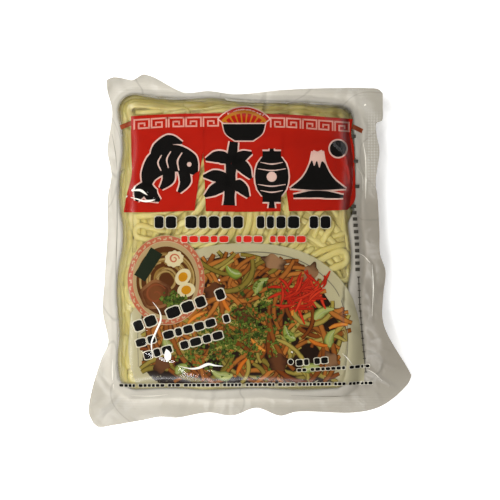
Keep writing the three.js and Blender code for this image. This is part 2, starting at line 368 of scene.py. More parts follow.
def noodle_material(name, pale, deep):
    # Steamed wheat dough: smooth, moist and slightly see-through, so it glows a little inside
    # and has a wet shine. Eggy yellow, paler on some strands, with a fine grain in its surface.
    material, tree = new_material(name)
    place = add_node(tree, "TexCoord").outputs["Object"]
    tone = add_node(tree, "Attribute", attribute_name="tone")
    clouds = add_node(tree, "TexNoise", {"Vector": place, "Scale": 120.0, "Detail": 3.0})
    mixed = add_node(tree, "Math", {
        0: clouds, 1: 0.7, 2: tone.outputs["Fac"]}, operation="MULTIPLY_ADD")
    share = add_node(tree, "MapRange", {"Value": mixed, "From Min": 0.2, "From Max": 1.5})
    tint = add_node(tree, "Mix", {
        "Factor": share, "A": linear(deep), "B": linear(pale)}, data_type="RGBA")
    grain = add_node(tree, "TexNoise", {"Vector": place, "Scale": 1400.0, "Detail": 2.0})
    bump = add_node(tree, "Bump", {"Height": grain, "Strength": 0.12, "Distance": 0.0003})
    surface = add_node(tree, "BsdfPrincipled", {
        "Base Color": tint, "Roughness": 0.34, "IOR": 1.42,
        "Subsurface Weight": 0.2, "Subsurface Radius": (0.9, 0.65, 0.25),
        "Subsurface Scale": 0.0015, "Normal": bump})
    add_node(tree, "OutputMaterial", {"Surface": surface})
    return material


def sink_ends(route):
    """How far each point of a route is below its layer, from the turned-down ends."""
    reach = np.arange(len(route)) * TRACE_STEP
    near_end = np.minimum(reach, reach[-1] - reach)
    return END_DIVE * (1 - ease(near_end, 0, END_LENGTH))


def front_centres(routes, depth, seed):
    """Lines of centres for front strands, each a little higher or lower than its neighbours."""
    draw = np.random.default_rng(seed)
    centres = []
    for route in routes:
        x, y = route.T
        reach = np.arange(len(route)) * TRACE_STEP
        waves = ripple(reach, draw.uniform(25, 60), draw.uniform(0, 6))
        uneven = draw.uniform(0, 0.5) + 0.25 * (1 + waves)
        top = crown_over_strand(x, y) - FILM_TO_NOODLE - depth - uneven
        centres.append(np.stack([x, y, top - NOODLE_THICK / 2 - sink_ends(route)], 1))
    return centres


turned = [turned_back(*loop) for loop in TURNED_BACK]
front_routes = spread_strands(front_swirl, NOODLE_PITCH, seed=23, placed=turned)
front_lines = front_centres(front_routes, 0.0, seed=5)
noodle = noodle_material("steamed_wheat_noodle", "d6ca8a", "c2b267")
strand_piece("noodle_strands_front", front_lines, seed=6)

# The strands below the front layer
# The next layer of the same noodles lies across the front one, and shows in the gaps between
# its strands. It is the same kind of rope on routes of its own, a strand's thickness lower.

SECOND_PITCH = 2.7
SECOND_DEPTH = 1.35
SECOND_LIMIT = -4.5


def second_swirl(x, y):
    return front_swirl(y, x) + 1.1


second_routes = spread_strands(second_swirl, SECOND_PITCH, seed=31, limit=SECOND_LIMIT)
strand_piece("noodle_strands_second", front_centres(second_routes, SECOND_DEPTH, seed=7), seed=8)

# The strands round the sides of the cake
# Noodles that were folded back at the edge of the cake and pressed into the rim between the two
# sheets of film. They follow the outline at several heights, in lengths that overlap.

CAKE_MIDDLE = (-5.7, 2.0)
RIM_RINGS = [(-1.9, 9.2), (-2.6, 6.3), (-3.4, 11.4), (-4.6, 4.4), (-5.0, 12.4), (-6.0, 8.2)]
RIM_LENGTH = (120, 220)
RIM_OVERLAP = 8
RIM_SHORTEST = 10


def outline_ring(inset, count):
    """Points of the cake's outline, moved out by inset millimetres, at even angles."""
    angles = np.linspace(0, 2 * np.pi, count, endpoint=False)
    way = np.stack([np.cos(angles), np.sin(angles)], 1)
    near, far = np.zeros(count), np.full(count, 130.0)
    for _ in range(24):
        middle = (near + far) / 2
        inside = cake_distance(*(np.array(CAKE_MIDDLE) + middle[:, None] * way).T) < inset
        near = np.where(inside, middle, near)
        far = np.where(inside, far, middle)
    return np.array(CAKE_MIDDLE) + near[:, None] * way


def even_steps(points, step):
    """The same line with points at an even distance."""
    reach = np.concatenate([[0], np.cumsum(np.linalg.norm(np.diff(points, axis=0), axis=1))])
    at = np.arange(0, reach[-1], step)
    return np.stack([np.interp(at, reach, column) for column in points.T], 1)


def rim_lines(seed):
    draw = np.random.default_rng(seed)
    lines = []
    for inset, height in RIM_RINGS:
        ring = even_steps(outline_ring(inset, 720), TRACE_STEP)
        ring = np.roll(ring, draw.integers(len(ring)), axis=0)
        start = 0
        while start < len(ring) - RIM_SHORTEST:
            count = int(draw.uniform(*RIM_LENGTH) / TRACE_STEP)
            part = ring[start:start + count]
            if len(part) < RIM_SHORTEST:
                break
            start += count - int(RIM_OVERLAP / TRACE_STEP)
            reach = np.arange(len(part)) * TRACE_STEP
            lift = 0.9 * ripple(reach, draw.uniform(28, 60), draw.uniform(0, 6))
            inward = np.array(CAKE_MIDDLE) - part
            inward /= np.linalg.norm(inward, axis=1)[:, None]
            shift = 0.4 * (1 + ripple(reach, draw.uniform(20, 45), draw.uniform(0, 6)))
            part = part + inward * (shift + sink_ends(part))[:, None]
            lines.append(np.column_stack([part, height + lift]))
    return lines


strand_piece("noodle_strands_rim", rim_lines(seed=11), seed=12)

# The strands of the back layer
# The same noodles seen through the clear back of the pouch, pressed flat where the pouch lies
# on them, and laid in another swirl than the front ones.

BACK_PITCH = 2.7
BACK_GAP = 0.45


def back_swirl(x, y):
    return front_swirl(-y, x + 30) + 0.5


def back_lines(routes, seed):
    draw = np.random.default_rng(seed)
    lines = []
    for route in routes:
        x, y = route.T
        back = MARGIN_HEIGHT * (1 - shoulder(cake_distance(x, y)))
        z = back + BACK_GAP + NOODLE_THICK / 2 + draw.uniform(0, 0.5) + sink_ends(route)
        lines.append(np.stack([x, y, z], 1))
    return lines


back_routes = spread_strands(back_swirl, BACK_PITCH, seed=41)
strand_piece("noodle_strands_back", back_lines(back_routes, seed=13), seed=14)

# The clear film
# Two sheets of clear laminated plastic film, drawn down onto the noodles by the vacuum and
# welded together all round. Each sheet is a fine grid whose rows follow the four cut edges. The
# front one dips between the strands, and the weld is gathered into small pleats.

BOTTOM_EDGE = [
    (-78.6, -86.6), (-76, -88.7), (-68.8, -87.8), (-52.8, -84.8), (-44.8, -83.2),
    (-36.8, -83.7), (-20.8, -81.2), (-8.8, -82.7), (3.2, -78.8), (15.2, -82.7),
    (23.2, -80.8), (51.2, -81.2), (63.2, -78.8), (71.2, -74.2), (79.3, -66.2), (80.7, -62.6)]
TOP_EDGE = [
    (-71.6, 84.9), (-68.2, 86.3), (-59.8, 84.9), (-50, 83), (-32, 78.5), (-20.8, 79.4),
    (-8, 77.8), (2, 78.4), (15, 79.8), (35, 80.8), (58, 80.8), (64, 80.2), (66.2, 78.2)]
LEFT_EDGE = [
    (-78.6, -86.6), (-80.7, -81.5), (-79.2, -70.2), (-74.2, -54.2), (-70.9, -46.5),
    (-73.6, -31), (-72.7, -14), (-71.2, 10), (-71.2, 26), (-69.3, 37.5), (-71.2, 50),
    (-68.8, 69.5), (-71.2, 79.5), (-71.6, 84.9)]
RIGHT_EDGE = [
    (80.7, -62.6), (78.2, -58), (68.6, -42), (66.2, -34), (66.7, -22), (67.7, -10.5),
    (65, -2), (64.7, 10), (63.8, 26), (62.8, 34), (64.7, 50), (63.3, 58), (63.2, 63.4),
    (65.9, 64.6), (66.3, 72), (66.2, 78.2)]
CORNER_LIFTS = [(-78.6, -86.6, -3.6), (80.7, -62.6, 3.2), (-71.6, 84.9, 2.8), (66.2, 78.2, 0.8)]
CORNER_REACH = 20.0
WELD_THICK = 0.36
WELD_WAVE = 1.3
WELD_WAVE_LENGTHS = (52.0, 40.0)
WELD_WAVE_PHASES = (0.4, 2.0)
WELD_WAVE_REACH = 12.0
LIP_HEIGHT = 4.2
LIP_ACROSS = (0.09, 0.14, 0.3)
FILM_COLUMNS = 250
FILM_ROWS = 270
DIP_GRID = 0.5
DIP_DEEPEST = 0.3
OPEN_GAP = 2.2
PLEATS = ((37, 0.3), (61, 0.24), (101, 0.14))
# Buckles of the stiff film: their route, height and half width.
CREASES = [
    ([(-48.3, -25.8), (-44.6, -31.8), (-47.2, -41.6), (-48.9, -46), (-48.3, -53.4)], 0.14, 2.0),
    ([(-41.4, -49.4), (-40.8, -52.4), (-41.2, -55.4)], 0.12, 2.4),
    ([(-36, -57.6), (-29.2, -59.0), (-20.6, -56.8), (-13.5, -57.7)], 0.1, 2.0),
    ([(-59.3, 26.1), (-53.3, 24.4), (-47.2, 25.0)], 0.14, 1.8),
    ([(-58.4, 29.6), (-54.4, 29.6), (-50.9, 27.3)], 0.14, 1.8),
    ([(40, 52), (46.5, 47), (49.4, 38), (49.6, 27)], 0.34, 1.6),
    ([(42, 49), (47.2, 42), (50.6, 33), (50.4, 21)], 0.3, 1.4),
    ([(44, 43), (50, 40), (52.2, 29), (51.5, 18)], 0.28, 1.3),
    ([(-52, 64), (-44, 57), (-40, 52)], 0.18, 1.5),
    ([(-57, 56), (-52, 51), (-49, 44)], 0.16, 1.5),
    ([(-8, 75), (14, 73.5), (34, 71.5)], 0.3, 1.5),
    ([(-40, 76), (-22, 73), (-2, 71.5)], 0.3, 1.5),
    ([(53.2, -0.8), (59, -4.8), (61.3, -10.5), (62, -20)], 0.4, 1.4),
    ([(54, -14), (60, -24), (61, -38)], 0.3, 1.5),
    ([(52, -64), (57.5, -60.5), (66, -64.5), (75, -70)], 0.42, 1.6),
    ([(-59.8, -72.8), (-52, -73.6), (-40, -73), (-29, -71.3)], 0.34, 1.4),
    ([(-4.8, -72.3), (20, -73.6), (42, -73.9), (59, -72.6)], 0.26, 1.2),
    ([(-68.6, -50.4), (-67.2, -58), (-66.9, -66), (-67.8, -71.5)], 0.5, 1.5),
    ([(-66, -36), (-70, -46), (-74, -52)], 0.4, 1.5),
    ([(-62, -69), (-68, -76), (-76, -84)], 0.36, 1.8),
    ([(-66, 72), (-63, 66), (-64.5, 58)], 0.45, 1.6),
    ([(-66, 55), (-68, 46), (-65.5, 38), (-67, 28)], 0.34, 1.5),
    ([(54, 68), (58, 62), (57, 52), (59.5, 44)], 0.4, 1.6),
    ([(55.5, 44), (58, 34), (56.5, 24), (59, 14)], 0.34, 1.5),
    ([(20, 78.4), (38, 77.6), (56, 77.8)], 0.3, 1.3)]
FOLD_FULL = 0.35
# The first buckles are the stiffest, and hold the film off the noodles beside them.
BRIDGED_CREASES = 5
BRIDGE_REACH = 2.6
BRIDGE_FULL = 2.0
FLANK_CURVE = 0.2
LOOSE_CREASES = 170
LOOSE_LENGTH = (5, 18)
LOOSE_HEIGHT = (0.06, 0.2)
LOOSE_HALF_WIDTH = (1.2, 2.0)
LOOSE_BAND = (-4, 18)
# The slack at the right side and the foot, where the film leaves the noodles sooner.
SLACK_RIGHT = 4.0
SLACK_FOOT = 2.0
# Where the film turns hazy, in millimetres past the noodles, and where the haze thins again.
WELD_STARTS = (-1.3, 1.5)
HAZE_THINS = (5, 10)
HAZE_IN_WELD = 0.56
HAZE_ON_SLOPE = 0.3
# Painted shade on the haze, darker towards the right side: where it grows across the pouch, and
# its fading towards the top and foot.
PAINTED_SHADE_ACROSS = (-30, 58)
PAINTED_SHADE_TOP = (5, 70)
PAINTED_SHADE_FOOT = (50, 76)
# The ribs of the two end seals (their middle and half height), and the stamped net's place.
RIBBED_BANDS = ((-76.5, 3.0, 4.2), (79.0, 2.0, 3.0))
RIB_SPACING = 0.0013
STAMPED_ACROSS = ((57.5, 59.5), (65, 66))
STAMPED_ALONG = ((24, 46), (64, 72))
STAMP_SPACING = 0.0014


def smooth_line(stations, count):
    """A smooth curve through the stations, at count points of even distance."""
    p = np.array([stations[0], *stations, stations[-1]], float)
    p[0] = 2 * p[1] - p[2]
    p[-1] = 2 * p[-2] - p[-3]
    knots = np.concatenate([[0], np.cumsum(np.linalg.norm(np.diff(p, axis=0), axis=1) ** 0.5)])
    pieces = []
    for k in range(1, len(p) - 2):
        t0, t1, t2, t3 = knots[k - 1:k + 3]
        t = np.linspace(t1, t2, 24, endpoint=False)[:, None]
        a1 = ((t1 - t) * p[k - 1] + (t - t0) * p[k]) / (t1 - t0)
        a2 = ((t2 - t) * p[k] + (t - t1) * p[k + 1]) / (t2 - t1)
        a3 = ((t3 - t) * p[k + 1] + (t - t2) * p[k + 2]) / (t3 - t2)
        b1 = ((t2 - t) * a1 + (t - t0) * a2) / (t2 - t0)
        b2 = ((t3 - t) * a2 + (t - t1) * a3) / (t3 - t1)
        pieces.append(((t2 - t) * b1 + (t - t1) * b2) / (t2 - t1))
    line = np.concatenate([*pieces, p[-2:-1]])
    reach = np.concatenate([[0], np.cumsum(np.linalg.norm(np.diff(line, axis=0), axis=1))])
    at = np.linspace(0, reach[-1], count)
    return np.stack([np.interp(at, reach, column) for column in line.T], 1)


def blended_sheet(bottom, top, left, right, columns, rows):
    """A grid of points between four edges, as arrays of rows by columns by two."""
    low, high = smooth_line(bottom, columns + 1), smooth_line(top, columns + 1)
    near, far = smooth_line(left, rows + 1), smooth_line(right, rows + 1)
    u = np.linspace(0, 1, columns + 1)[None, :, None]
    v = np.linspace(0, 1, rows + 1)[:, None, None]
    across = near[:, None] * (1 - u) + far[:, None] * u
    along = low[None] * (1 - v) + high[None] * v
    corners = (low[0] * (1 - u) + low[-1] * u) * (1 - v) + (high[0] * (1 - u) + high[-1] * u) * v
    return across + along - corners


def weld_height(x, y):
    """Middle of the weld: wavy towards the cut edges and curled at the four corners."""
    free = ease(cake_distance(x, y), 0, WELD_WAVE_REACH)
    waves = sum(ripple(at, length, phase)
                for at, length, phase in zip((x, y), WELD_WAVE_LENGTHS, WELD_WAVE_PHASES))
    height = MARGIN_HEIGHT + free * WELD_WAVE * waves
    for corner_x, corner_y, lift in CORNER_LIFTS:
        away = np.hypot(x - corner_x, y - corner_y)
        height = height + lift * np.exp(-(away / CORNER_REACH) ** 2)
    return height


def front_sheet(x, y):
    """The front film before its pleats and its dips between strands."""
    on_cake = shoulder(cake_distance(x, y))
    above_weld = weld_height(x, y) + WELD_THICK / 2 - MARGIN_HEIGHT
    return crown_height(x, y) + above_weld * (1 - on_cake)


def pleat_height(x, y):
    """Small gathers that fan out from the foot of the cake into the weld."""
    distance = cake_distance(x, y)
    band = ease(distance, -9, 0) * (1 - ease(distance, 3, 13))
    turn = np.arctan2((y - CAKE_MIDDLE[1]) / 73, (x - CAKE_MIDDLE[0]) / 59.5)
    strength = 0.55 + 0.45 * np.sin(5 * turn + 1.0) * np.sin(9 * turn + 2.2)
    return band * strength * sum(size * np.sin(count * turn + count) for count, size in PLEATS)


def flank(share):
    """A ridge's profile: 1 on its crest, 0 at its foot, straight between two short curves."""
    t = np.clip(share, 0, 1)
    near_crest, near_foot = t ** 2 / (2 * FLANK_CURVE), (1 - t) ** 2 / (2 * FLANK_CURVE)
    fall = np.where(t < FLANK_CURVE, near_crest, t - FLANK_CURVE / 2)
    fall = np.where(t > 1 - FLANK_CURVE, 1 - FLANK_CURVE - near_foot, fall)
    return 1 - fall / (1 - FLANK_CURVE)


def buckle(x, y, line, high, wide):
    """A ridge along a line, highest at its middle and gone at its ends."""
    ridge = np.zeros_like(x)
    low, top = np.min(line, axis=0) - 2 * wide, np.max(line, axis=0) + 2 * wide
    near = (x > low[0]) & (x < top[0]) & (y > low[1]) & (y < top[1])
    if not near.any():
        return ridge
    route = smooth_line(line, 24)
    start, step = route[:-1], np.diff(route, axis=0)
    from_x, from_y = x[near][:, None] - start[:, 0], y[near][:, None] - start[:, 1]
    share = np.clip((from_x * step[:, 0] + from_y * step[:, 1]) / (step ** 2).sum(1), 0, 1)
    away = np.hypot(from_x - share * step[:, 0], from_y - share * step[:, 1])
    closest = away.argmin(1)[:, None]
    along = (closest + np.take_along_axis(share, closest, 1))[:, 0] / len(step)
    rise = np.sin(np.pi * np.clip(along, 0, 1)) ** 0.7
    ridge[near] = high * rise * flank(away.min(1) / wide)
    return ridge


def loose_creases(seed):
    """Short creases in all directions, scattered over the weld and the shoulders."""
    draw = random.Random(seed)
    creases = []
    while len(creases) < LOOSE_CREASES:
        x, y = draw.uniform(-78, 78), draw.uniform(-86, 84)
        if LOOSE_BAND[0] < cake_distance(x, y) < LOOSE_BAND[1]:
            turn, length = draw.uniform(0, math.pi), draw.uniform(*LOOSE_LENGTH)
            bend = draw.uniform(-0.2, 0.2) * length
            way = np.array([math.cos(turn), math.sin(turn)])
            across = np.array([-way[1], way[0]])
            line = [np.array([x, y]) + way * length * t + across * bend * (1 - 4 * t * t)
                    for t in (-0.5, 0, 0.5)]
            creases.append((line, draw.uniform(*LOOSE_HEIGHT), draw.uniform(*LOOSE_HALF_WIDTH)))
    return creases


ALL_CREASES = CREASES + loose_creases(seed=9)


def crease_height(x, y):
    return sum(buckle(x, y, *crease) for crease in ALL_CREASES)


def bridging(x, y):
    """1 beside the stiff buckles, where the film spans the strands without dipping."""
    spans = [buckle(x, y, line, BRIDGE_FULL, wide * BRIDGE_REACH)
             for line, _, wide in CREASES[:BRIDGED_CREASES]]
    return np.clip(np.max(spans, axis=0), 0, 1)


def strand_dips(lines):
    """How far the front film dips below its full height over the strands, as a fine raster."""
    xs = np.arange(CAKE_LEFT - 6, CAKE_RIGHT + 6, DIP_GRID)
    ys = np.arange(CAKE_BOTTOM - 6, CAKE_TOP + 8, DIP_GRID)
    dips = np.full((len(ys), len(xs)), OPEN_GAP)
    reach = int(NOODLE_WIDE / 2 / DIP_GRID)
    around = np.arange(-reach, reach + 1)
    for line in lines:
        full = crown_height(line[:, 0], line[:, 1]) - FILM_TO_NOODLE - NOODLE_THICK / 2
        for (px, py, pz), top in zip(line, full):
            i, j = int((px - xs[0]) / DIP_GRID), int((py - ys[0]) / DIP_GRID)
            rows, columns = j + around, i + around
            away = np.hypot(xs[columns][None] - px, ys[rows][:, None] - py) / (NOODLE_WIDE / 2)
            fall = top - pz + NOODLE_THICK / 2 * (1 - np.sqrt(np.clip(1 - away ** 2, 0, 1)))
            patch = dips[rows[0]:rows[-1] + 1, columns[0]:columns[-1] + 1]
            np.minimum(patch, fall, out=patch)
    shifts = np.arange(-4, 5)
    weights = np.exp(-shifts ** 2 / 7.0)
    weights /= weights.sum()
    for axis in (0, 1):
        dips = sum(weight * np.roll(dips, shift, axis) for weight, shift in zip(weights, shifts))
    return xs, ys, DIP_DEEPEST * np.tanh(dips * 0.3 / DIP_DEEPEST)


def dip_at(raster, x, y):
    xs, ys, dips = raster
    i = np.clip((x - xs[0]) / DIP_GRID, 0, len(xs) - 1.001)
    j = np.clip((y - ys[0]) / DIP_GRID, 0, len(ys) - 1.001)
    column, row = i.astype(int), j.astype(int)
    u, v = i - column, j - row
    low = dips[row, column] * (1 - u) + dips[row, column + 1] * u
    high = dips[row + 1, column] * (1 - u) + dips[row + 1, column + 1] * u
    return low * (1 - v) + high * v


def past_noodles(x, y):
    """Distance beyond the line where the film leaves the noodles, inwards negative."""
    by_curtain = ease(y, 12, 20)
    slack = SLACK_RIGHT * ease(x, 43 + 8 * by_curtain, 50 + 4 * by_curtain)
    return cake_distance(x, y) + slack + SLACK_FOOT * (1 - ease(y, -70, -64))


def drawn_values(x, y, folds):
    """What the film's material reads at each point: how welded, hazy, ribbed or creased it is, and
    its painted shade.
    """
    beyond, distance = past_noodles(x, y), cake_distance(x, y)
    weld = ease(beyond, *WELD_STARTS)
    # Painted shade: greyer towards the right side of the pouch, fading towards the top and foot.
    painted_shade = ease(x, *PAINTED_SHADE_ACROSS) * (1 - 0.75 * ease(y, *PAINTED_SHADE_TOP))
    painted_shade = painted_shade * (1 - 0.5 * ease(-y, *PAINTED_SHADE_FOOT)) * (0.3 + 0.7 * ease(distance, -4, 4))
    ribbed = np.max([1 - ease(np.abs(y - middle), low, high)
                     for middle, low, high in RIBBED_BANDS], axis=0)
    return {"weld": weld,
            "haze": weld * (HAZE_IN_WELD + HAZE_ON_SLOPE * (1 - ease(beyond, *HAZE_THINS))),
            "ribbed": ribbed * weld,
            "knurled": ease(x, *STAMPED_ACROSS[0]) * (1 - ease(x, *STAMPED_ACROSS[1]))
            * ease(y, *STAMPED_ALONG[0]) * (1 - ease(y, *STAMPED_ALONG[1])),
            "folded": np.clip(folds / FOLD_FULL, 0, 1) * weld,
            "painted_shade": painted_shade,
            "crumpled": 0.8 * ease(distance, -10.5, -7) + 0.2 * weld}


def film_material():
    # Clear nylon and polyethylene laminate: see-through with a hard gloss. Where the two sheets
    # are welded the heat has left them hazy, with fine ribs across the top and bottom seals.
    material, tree = new_material("clear_laminate_film")
    place = add_node(tree, "TexCoord").outputs["Object"]
    drawn = {name: add_node(tree, "Attribute", attribute_name=name).outputs["Fac"] for name in
             ("weld", "haze", "ribbed", "knurled", "folded", "painted_shade", "crumpled")}
    ribs = add_node(tree, "TexWave", {
        "Vector": place, "Scale": 2 * math.pi / 20 / RIB_SPACING, "Distortion": 0.6},
        bands_direction="Y")
    crinkle = add_node(tree, "TexNoise", {
        "Vector": place, "Scale": 170.0, "Detail": 4.0, "Roughness": 0.55})
    rib_height = add_node(tree, "Math", {
        0: ribs.outputs["Fac"], 1: drawn["ribbed"]}, operation="MULTIPLY")
    taut = add_node(tree, "MapRange", {"Value": drawn["weld"], "To Min": 0.025, "To Max": 1.0})
    fine = add_node(tree, "Math", {0: crinkle, 1: taut}, operation="MULTIPLY")
    height = add_node(tree, "Math", {0: rib_height, 1: 0.25, 2: fine}, operation="MULTIPLY_ADD")
    # The side seal is stamped with a net of small squares, white along its lines.
    dots = add_node(tree, "TexVoronoi", {
        "Vector": place, "Scale": 1 / STAMP_SPACING, "Randomness": 0.0},
        voronoi_dimensions="2D")
    net = add_node(tree, "MapRange", {
        "Value": dots, "From Min": 0.4, "From Max": 0.6, "To Max": 0.55})
    whitened = add_node(tree, "Math", {0: net, 1: drawn["knurled"]}, operation="MULTIPLY")
    dot_height = add_node(tree, "Math", {0: dots, 1: drawn["knurled"]}, operation="MULTIPLY")
    stamped = add_node(tree, "Math", {0: dot_height, 1: 0.9, 2: height}, operation="MULTIPLY_ADD")
    # Crushed film keeps a net of little creases, most of all in the weld, and a few long ones.
    wrinkle = add_node(tree, "TexNoise", {
        "Vector": place, "Scale": 110.0, "Detail": 3.0, "Roughness": 0.55, "Offset": 0.9,
        "Gain": 1.2}, noise_type="RIDGED_MULTIFRACTAL", normalize=False)
    sharp = add_node(tree, "MapRange", {"Value": wrinkle, "From Min": 0.9, "From Max": 1.7})
    crushed = add_node(tree, "Math", {0: sharp, 1: drawn["weld"]}, operation="MULTIPLY")
    relief = add_node(tree, "Math", {0: crushed, 1: 0.5, 2: stamped}, operation="MULTIPLY_ADD")
    bump = add_node(tree, "Bump", {"Height": relief, "Strength": 0.5, "Distance": 0.0006})
    haze_noise = add_node(tree, "TexNoise", {"Vector": place, "Scale": 60.0, "Detail": 3.0})
    patchy = add_node(tree, "Math", {0: haze_noise, 1: drawn["weld"]}, operation="MULTIPLY")
    haze = add_node(tree, "Math", {
        0: patchy, 1: 0.14, 2: drawn["haze"]}, operation="MULTIPLY_ADD", use_clamp=True)
    smoke = add_node(tree, "Mix", {
        "Factor": drawn["weld"], "A": linear("fdfdfa"), "B": linear("ccc8bd")}, data_type="RGBA")
    doubled = add_node(tree, "Mix", {
        "Factor": drawn["folded"], "A": smoke, "B": linear("8a857a")}, data_type="RGBA")
    clear = add_node(tree, "BsdfTransparent", {"Color": doubled})
    # Painted shade: the haze is painted greyer towards the right side, away from the window, most
    # past the noodles and less towards the top and foot.
    painted_shade_tint = add_node(tree, "Mix", {
        "Factor": drawn["painted_shade"], "A": linear("cfc9bb"), "B": linear("a59d8f")},
        data_type="RGBA")
    # Haze scatters the light inside it, so its slopes are shaded as if they were flatter.
    flatter = add_node(tree, "VectorMath", {0: bump, 1: (0.4, 0.4, 1.0)}, operation="MULTIPLY")
    scattered = add_node(tree, "VectorMath", {0: flatter}, operation="NORMALIZE")
    # Painted shade: thin dark lines along the ridges of a noise are drawn into the haze's colour
    # and stand in for the shade of fine creases.
    ridges = add_node(tree, "TexNoise", {
        "Vector": place, "Scale": 32.0, "Detail": 0.0, "Offset": 1.0, "Gain": 1.0},
        noise_type="RIDGED_MULTIFRACTAL", normalize=False)
    crease_shade_lines = add_node(tree, "MapRange", {
        "Value": ridges, "From Min": 0.95, "From Max": 1.0, "To Max": 0.35})
    creased = add_node(tree, "Mix", {
        "Factor": crease_shade_lines, "A": painted_shade_tint, "B": linear("7d776b")}, data_type="RGBA")
    netted = add_node(tree, "Mix", {
        "Factor": whitened, "A": creased, "B": linear("efebe0")}, data_type="RGBA")
    milky = add_node(tree, "BsdfDiffuse", {"Color": netted, "Normal": scattered})
    body = add_node(tree, "MixShader", {"Fac": haze, 1: clear, 2: milky})
    # Over the shoulder the film is drawn into wrinkles too fine to see, which dull its gloss.
    dulled = add_node(tree, "MapRange", {
        "Value": drawn["crumpled"], "To Min": 0.095, "To Max": 0.36})
    shine = add_node(tree, "BsdfGlossy", {
        "Color": linear("ffffff"), "Roughness": dulled, "Normal": bump})
    glance = add_node(tree, "Fresnel", {"IOR": 1.46, "Normal": bump})
    surface = add_node(tree, "MixShader", {"Fac": glance, 1: body, 2: shine})
    add_node(tree, "OutputMaterial", {"Surface": surface})
    return material


def film_sheet(name, points, heights, folds):
    """One sheet: a grid of the film's rows and columns whose points are then put in place."""
    rows, columns = heights.shape
    bpy.ops.object.select_all(action="DESELECT")
    bpy.ops.mesh.primitive_grid_add(x_subdivisions=columns - 1, y_subdivisions=rows - 1, size=1)
    sheet = bpy.context.object
    sheet.name = name
    place = np.concatenate([points, heights[..., None]], -1).reshape(-1, 3) * MM
    sheet.data.vertices.foreach_set("co", place.astype(np.float32).ravel())
    for label, values in drawn_values(points[..., 0], points[..., 1], folds).items():
        layer = sheet.data.attributes.new(label, "FLOAT", "POINT")
        layer.data.foreach_set("value", values.astype(np.float32).ravel())
    return sheet


front_points = blended_sheet(BOTTOM_EDGE, TOP_EDGE, LEFT_EDGE, RIGHT_EDGE, FILM_COLUMNS, FILM_ROWS)
front_x, front_y = front_points[..., 0], front_points[..., 1]
front_folds = crease_height(front_x, front_y)
held = shoulder(cake_distance(front_x, front_y)) * (1 - bridging(front_x, front_y))
front_z = front_sheet(front_x, front_y) + pleat_height(front_x, front_y)
front_z += front_folds - dip_at(strand_dips(front_lines), front_x, front_y) * held

# The back sheet is seen less, so it has half the rows and columns. Its lip stands out at the top.
back_points = front_points[::2, ::2].copy()
lip_u = np.linspace(0, 1, FILM_COLUMNS // 2 + 1)[None]
lip_v = np.linspace(0, 1, FILM_ROWS // 2 + 1)[:, None]
lip = ease(lip_u, *LIP_ACROSS[:2]) * (1 - ease(lip_u, *LIP_ACROSS[1:])) * ease(lip_v, 0.93, 1)
back_points[..., 1] += LIP_HEIGHT * lip
back_x, back_y = back_points[..., 0], back_points[..., 1]
off_cake = 1 - shoulder(cake_distance(back_x, back_y))
back_folds = crease_height(back_x, back_y)
back_z = (weld_height(back_x, back_y) - WELD_THICK / 2) * off_cake
back_z += (pleat_height(back_x, back_y) + back_folds) * off_cake

film = film_sheet("film", front_points, front_z, front_folds)
back_film = film_sheet("film_back", back_points, back_z, back_folds)
bpy.ops.object.mode_set(mode="EDIT")
bpy.ops.mesh.select_all(action="SELECT")
bpy.ops.mesh.flip_normals()
bpy.ops.object.mode_set(mode="OBJECT")
film.select_set(True)
bpy.context.view_layer.objects.active = film
bpy.ops.object.join()
bpy.ops.object.mode_set(mode="EDIT")
bpy.ops.mesh.select_all(action="DESELECT")
bpy.ops.mesh.select_mode(type="EDGE")
bpy.ops.mesh.select_non_manifold(extend=False)
bpy.ops.mesh.mark_sharp()
bpy.ops.mesh.bridge_edge_loops()
bpy.ops.object.mode_set(mode="OBJECT")
bpy.ops.object.shade_smooth()
film.data.materials.append(film_material())
pack_piece(film)
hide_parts("noodle_pouch")

# The red shop curtain of the print
# Gravure ink that lies just under the clear film over the noodles, and just over the hazy film
# past them. The main field is a short red shop curtain of three cloths that hang from a brown
# rod, parted by two slits that widen downwards. Each cloth is a panel between four edges.

PRINT_DEPTH = 1.05
PRINT_OVER_WELD = 0.05
PRINT_RISES = (-7.5, -1)
LAYERS_IN_WELD = 0.5
EVEN_TONE = 0.5
CURTAIN_TOP = [(-59.2, 66.5), (-41, 67.7), (-10, 68.2), (20, 67.4), (51.2, 65.2)]
CURTAIN_LEFT = [(-62.9, 18.7), (-61.2, 28), (-58.9, 37), (-59.1, 50), (-59.2, 66.5)]
CURTAIN_RIGHT = [
    (48.6, 20.0), (52.3, 25), (52.6, 31), (52, 42), (51.8, 51), (50.3, 58.5), (51.2, 65.2)]
CURTAIN_LAYER = 0.03
SLIT_TOPS = [(-23.2, 51), (16.4, 42)]
SLIT_FEET = [((-27.6, 19.6), (-22, 19.3)), ((15.2, 19.2), (19.4, 19.3))]
CLOTH_LAP = 0.15
CLOTH_SAG = 0.3
CLOTH_CELLS = 40
ROD_ENDS = [((-64.6, 61.0), (-58.6, 63.2)), ((51.0, 61.6), (56.2, 59.4))]
ROD_WIDE = 2.3
STEP_ALONG = 0.8


def print_height(x, y, layer):
    """Height of an ink layer: under the clear film, and on the hazy film past the noodles."""
    raised = ease(past_noodles(x, y), *PRINT_RISES)
    folds = crease_height(x, y) if raised.any() else 0
    depth = PRINT_DEPTH * (1 - raised) - (PRINT_OVER_WELD + folds) * raised
    spread = 1 - (1 - LAYERS_IN_WELD) * raised
    return front_sheet(x, y) + pleat_height(x, y) - depth + layer * spread


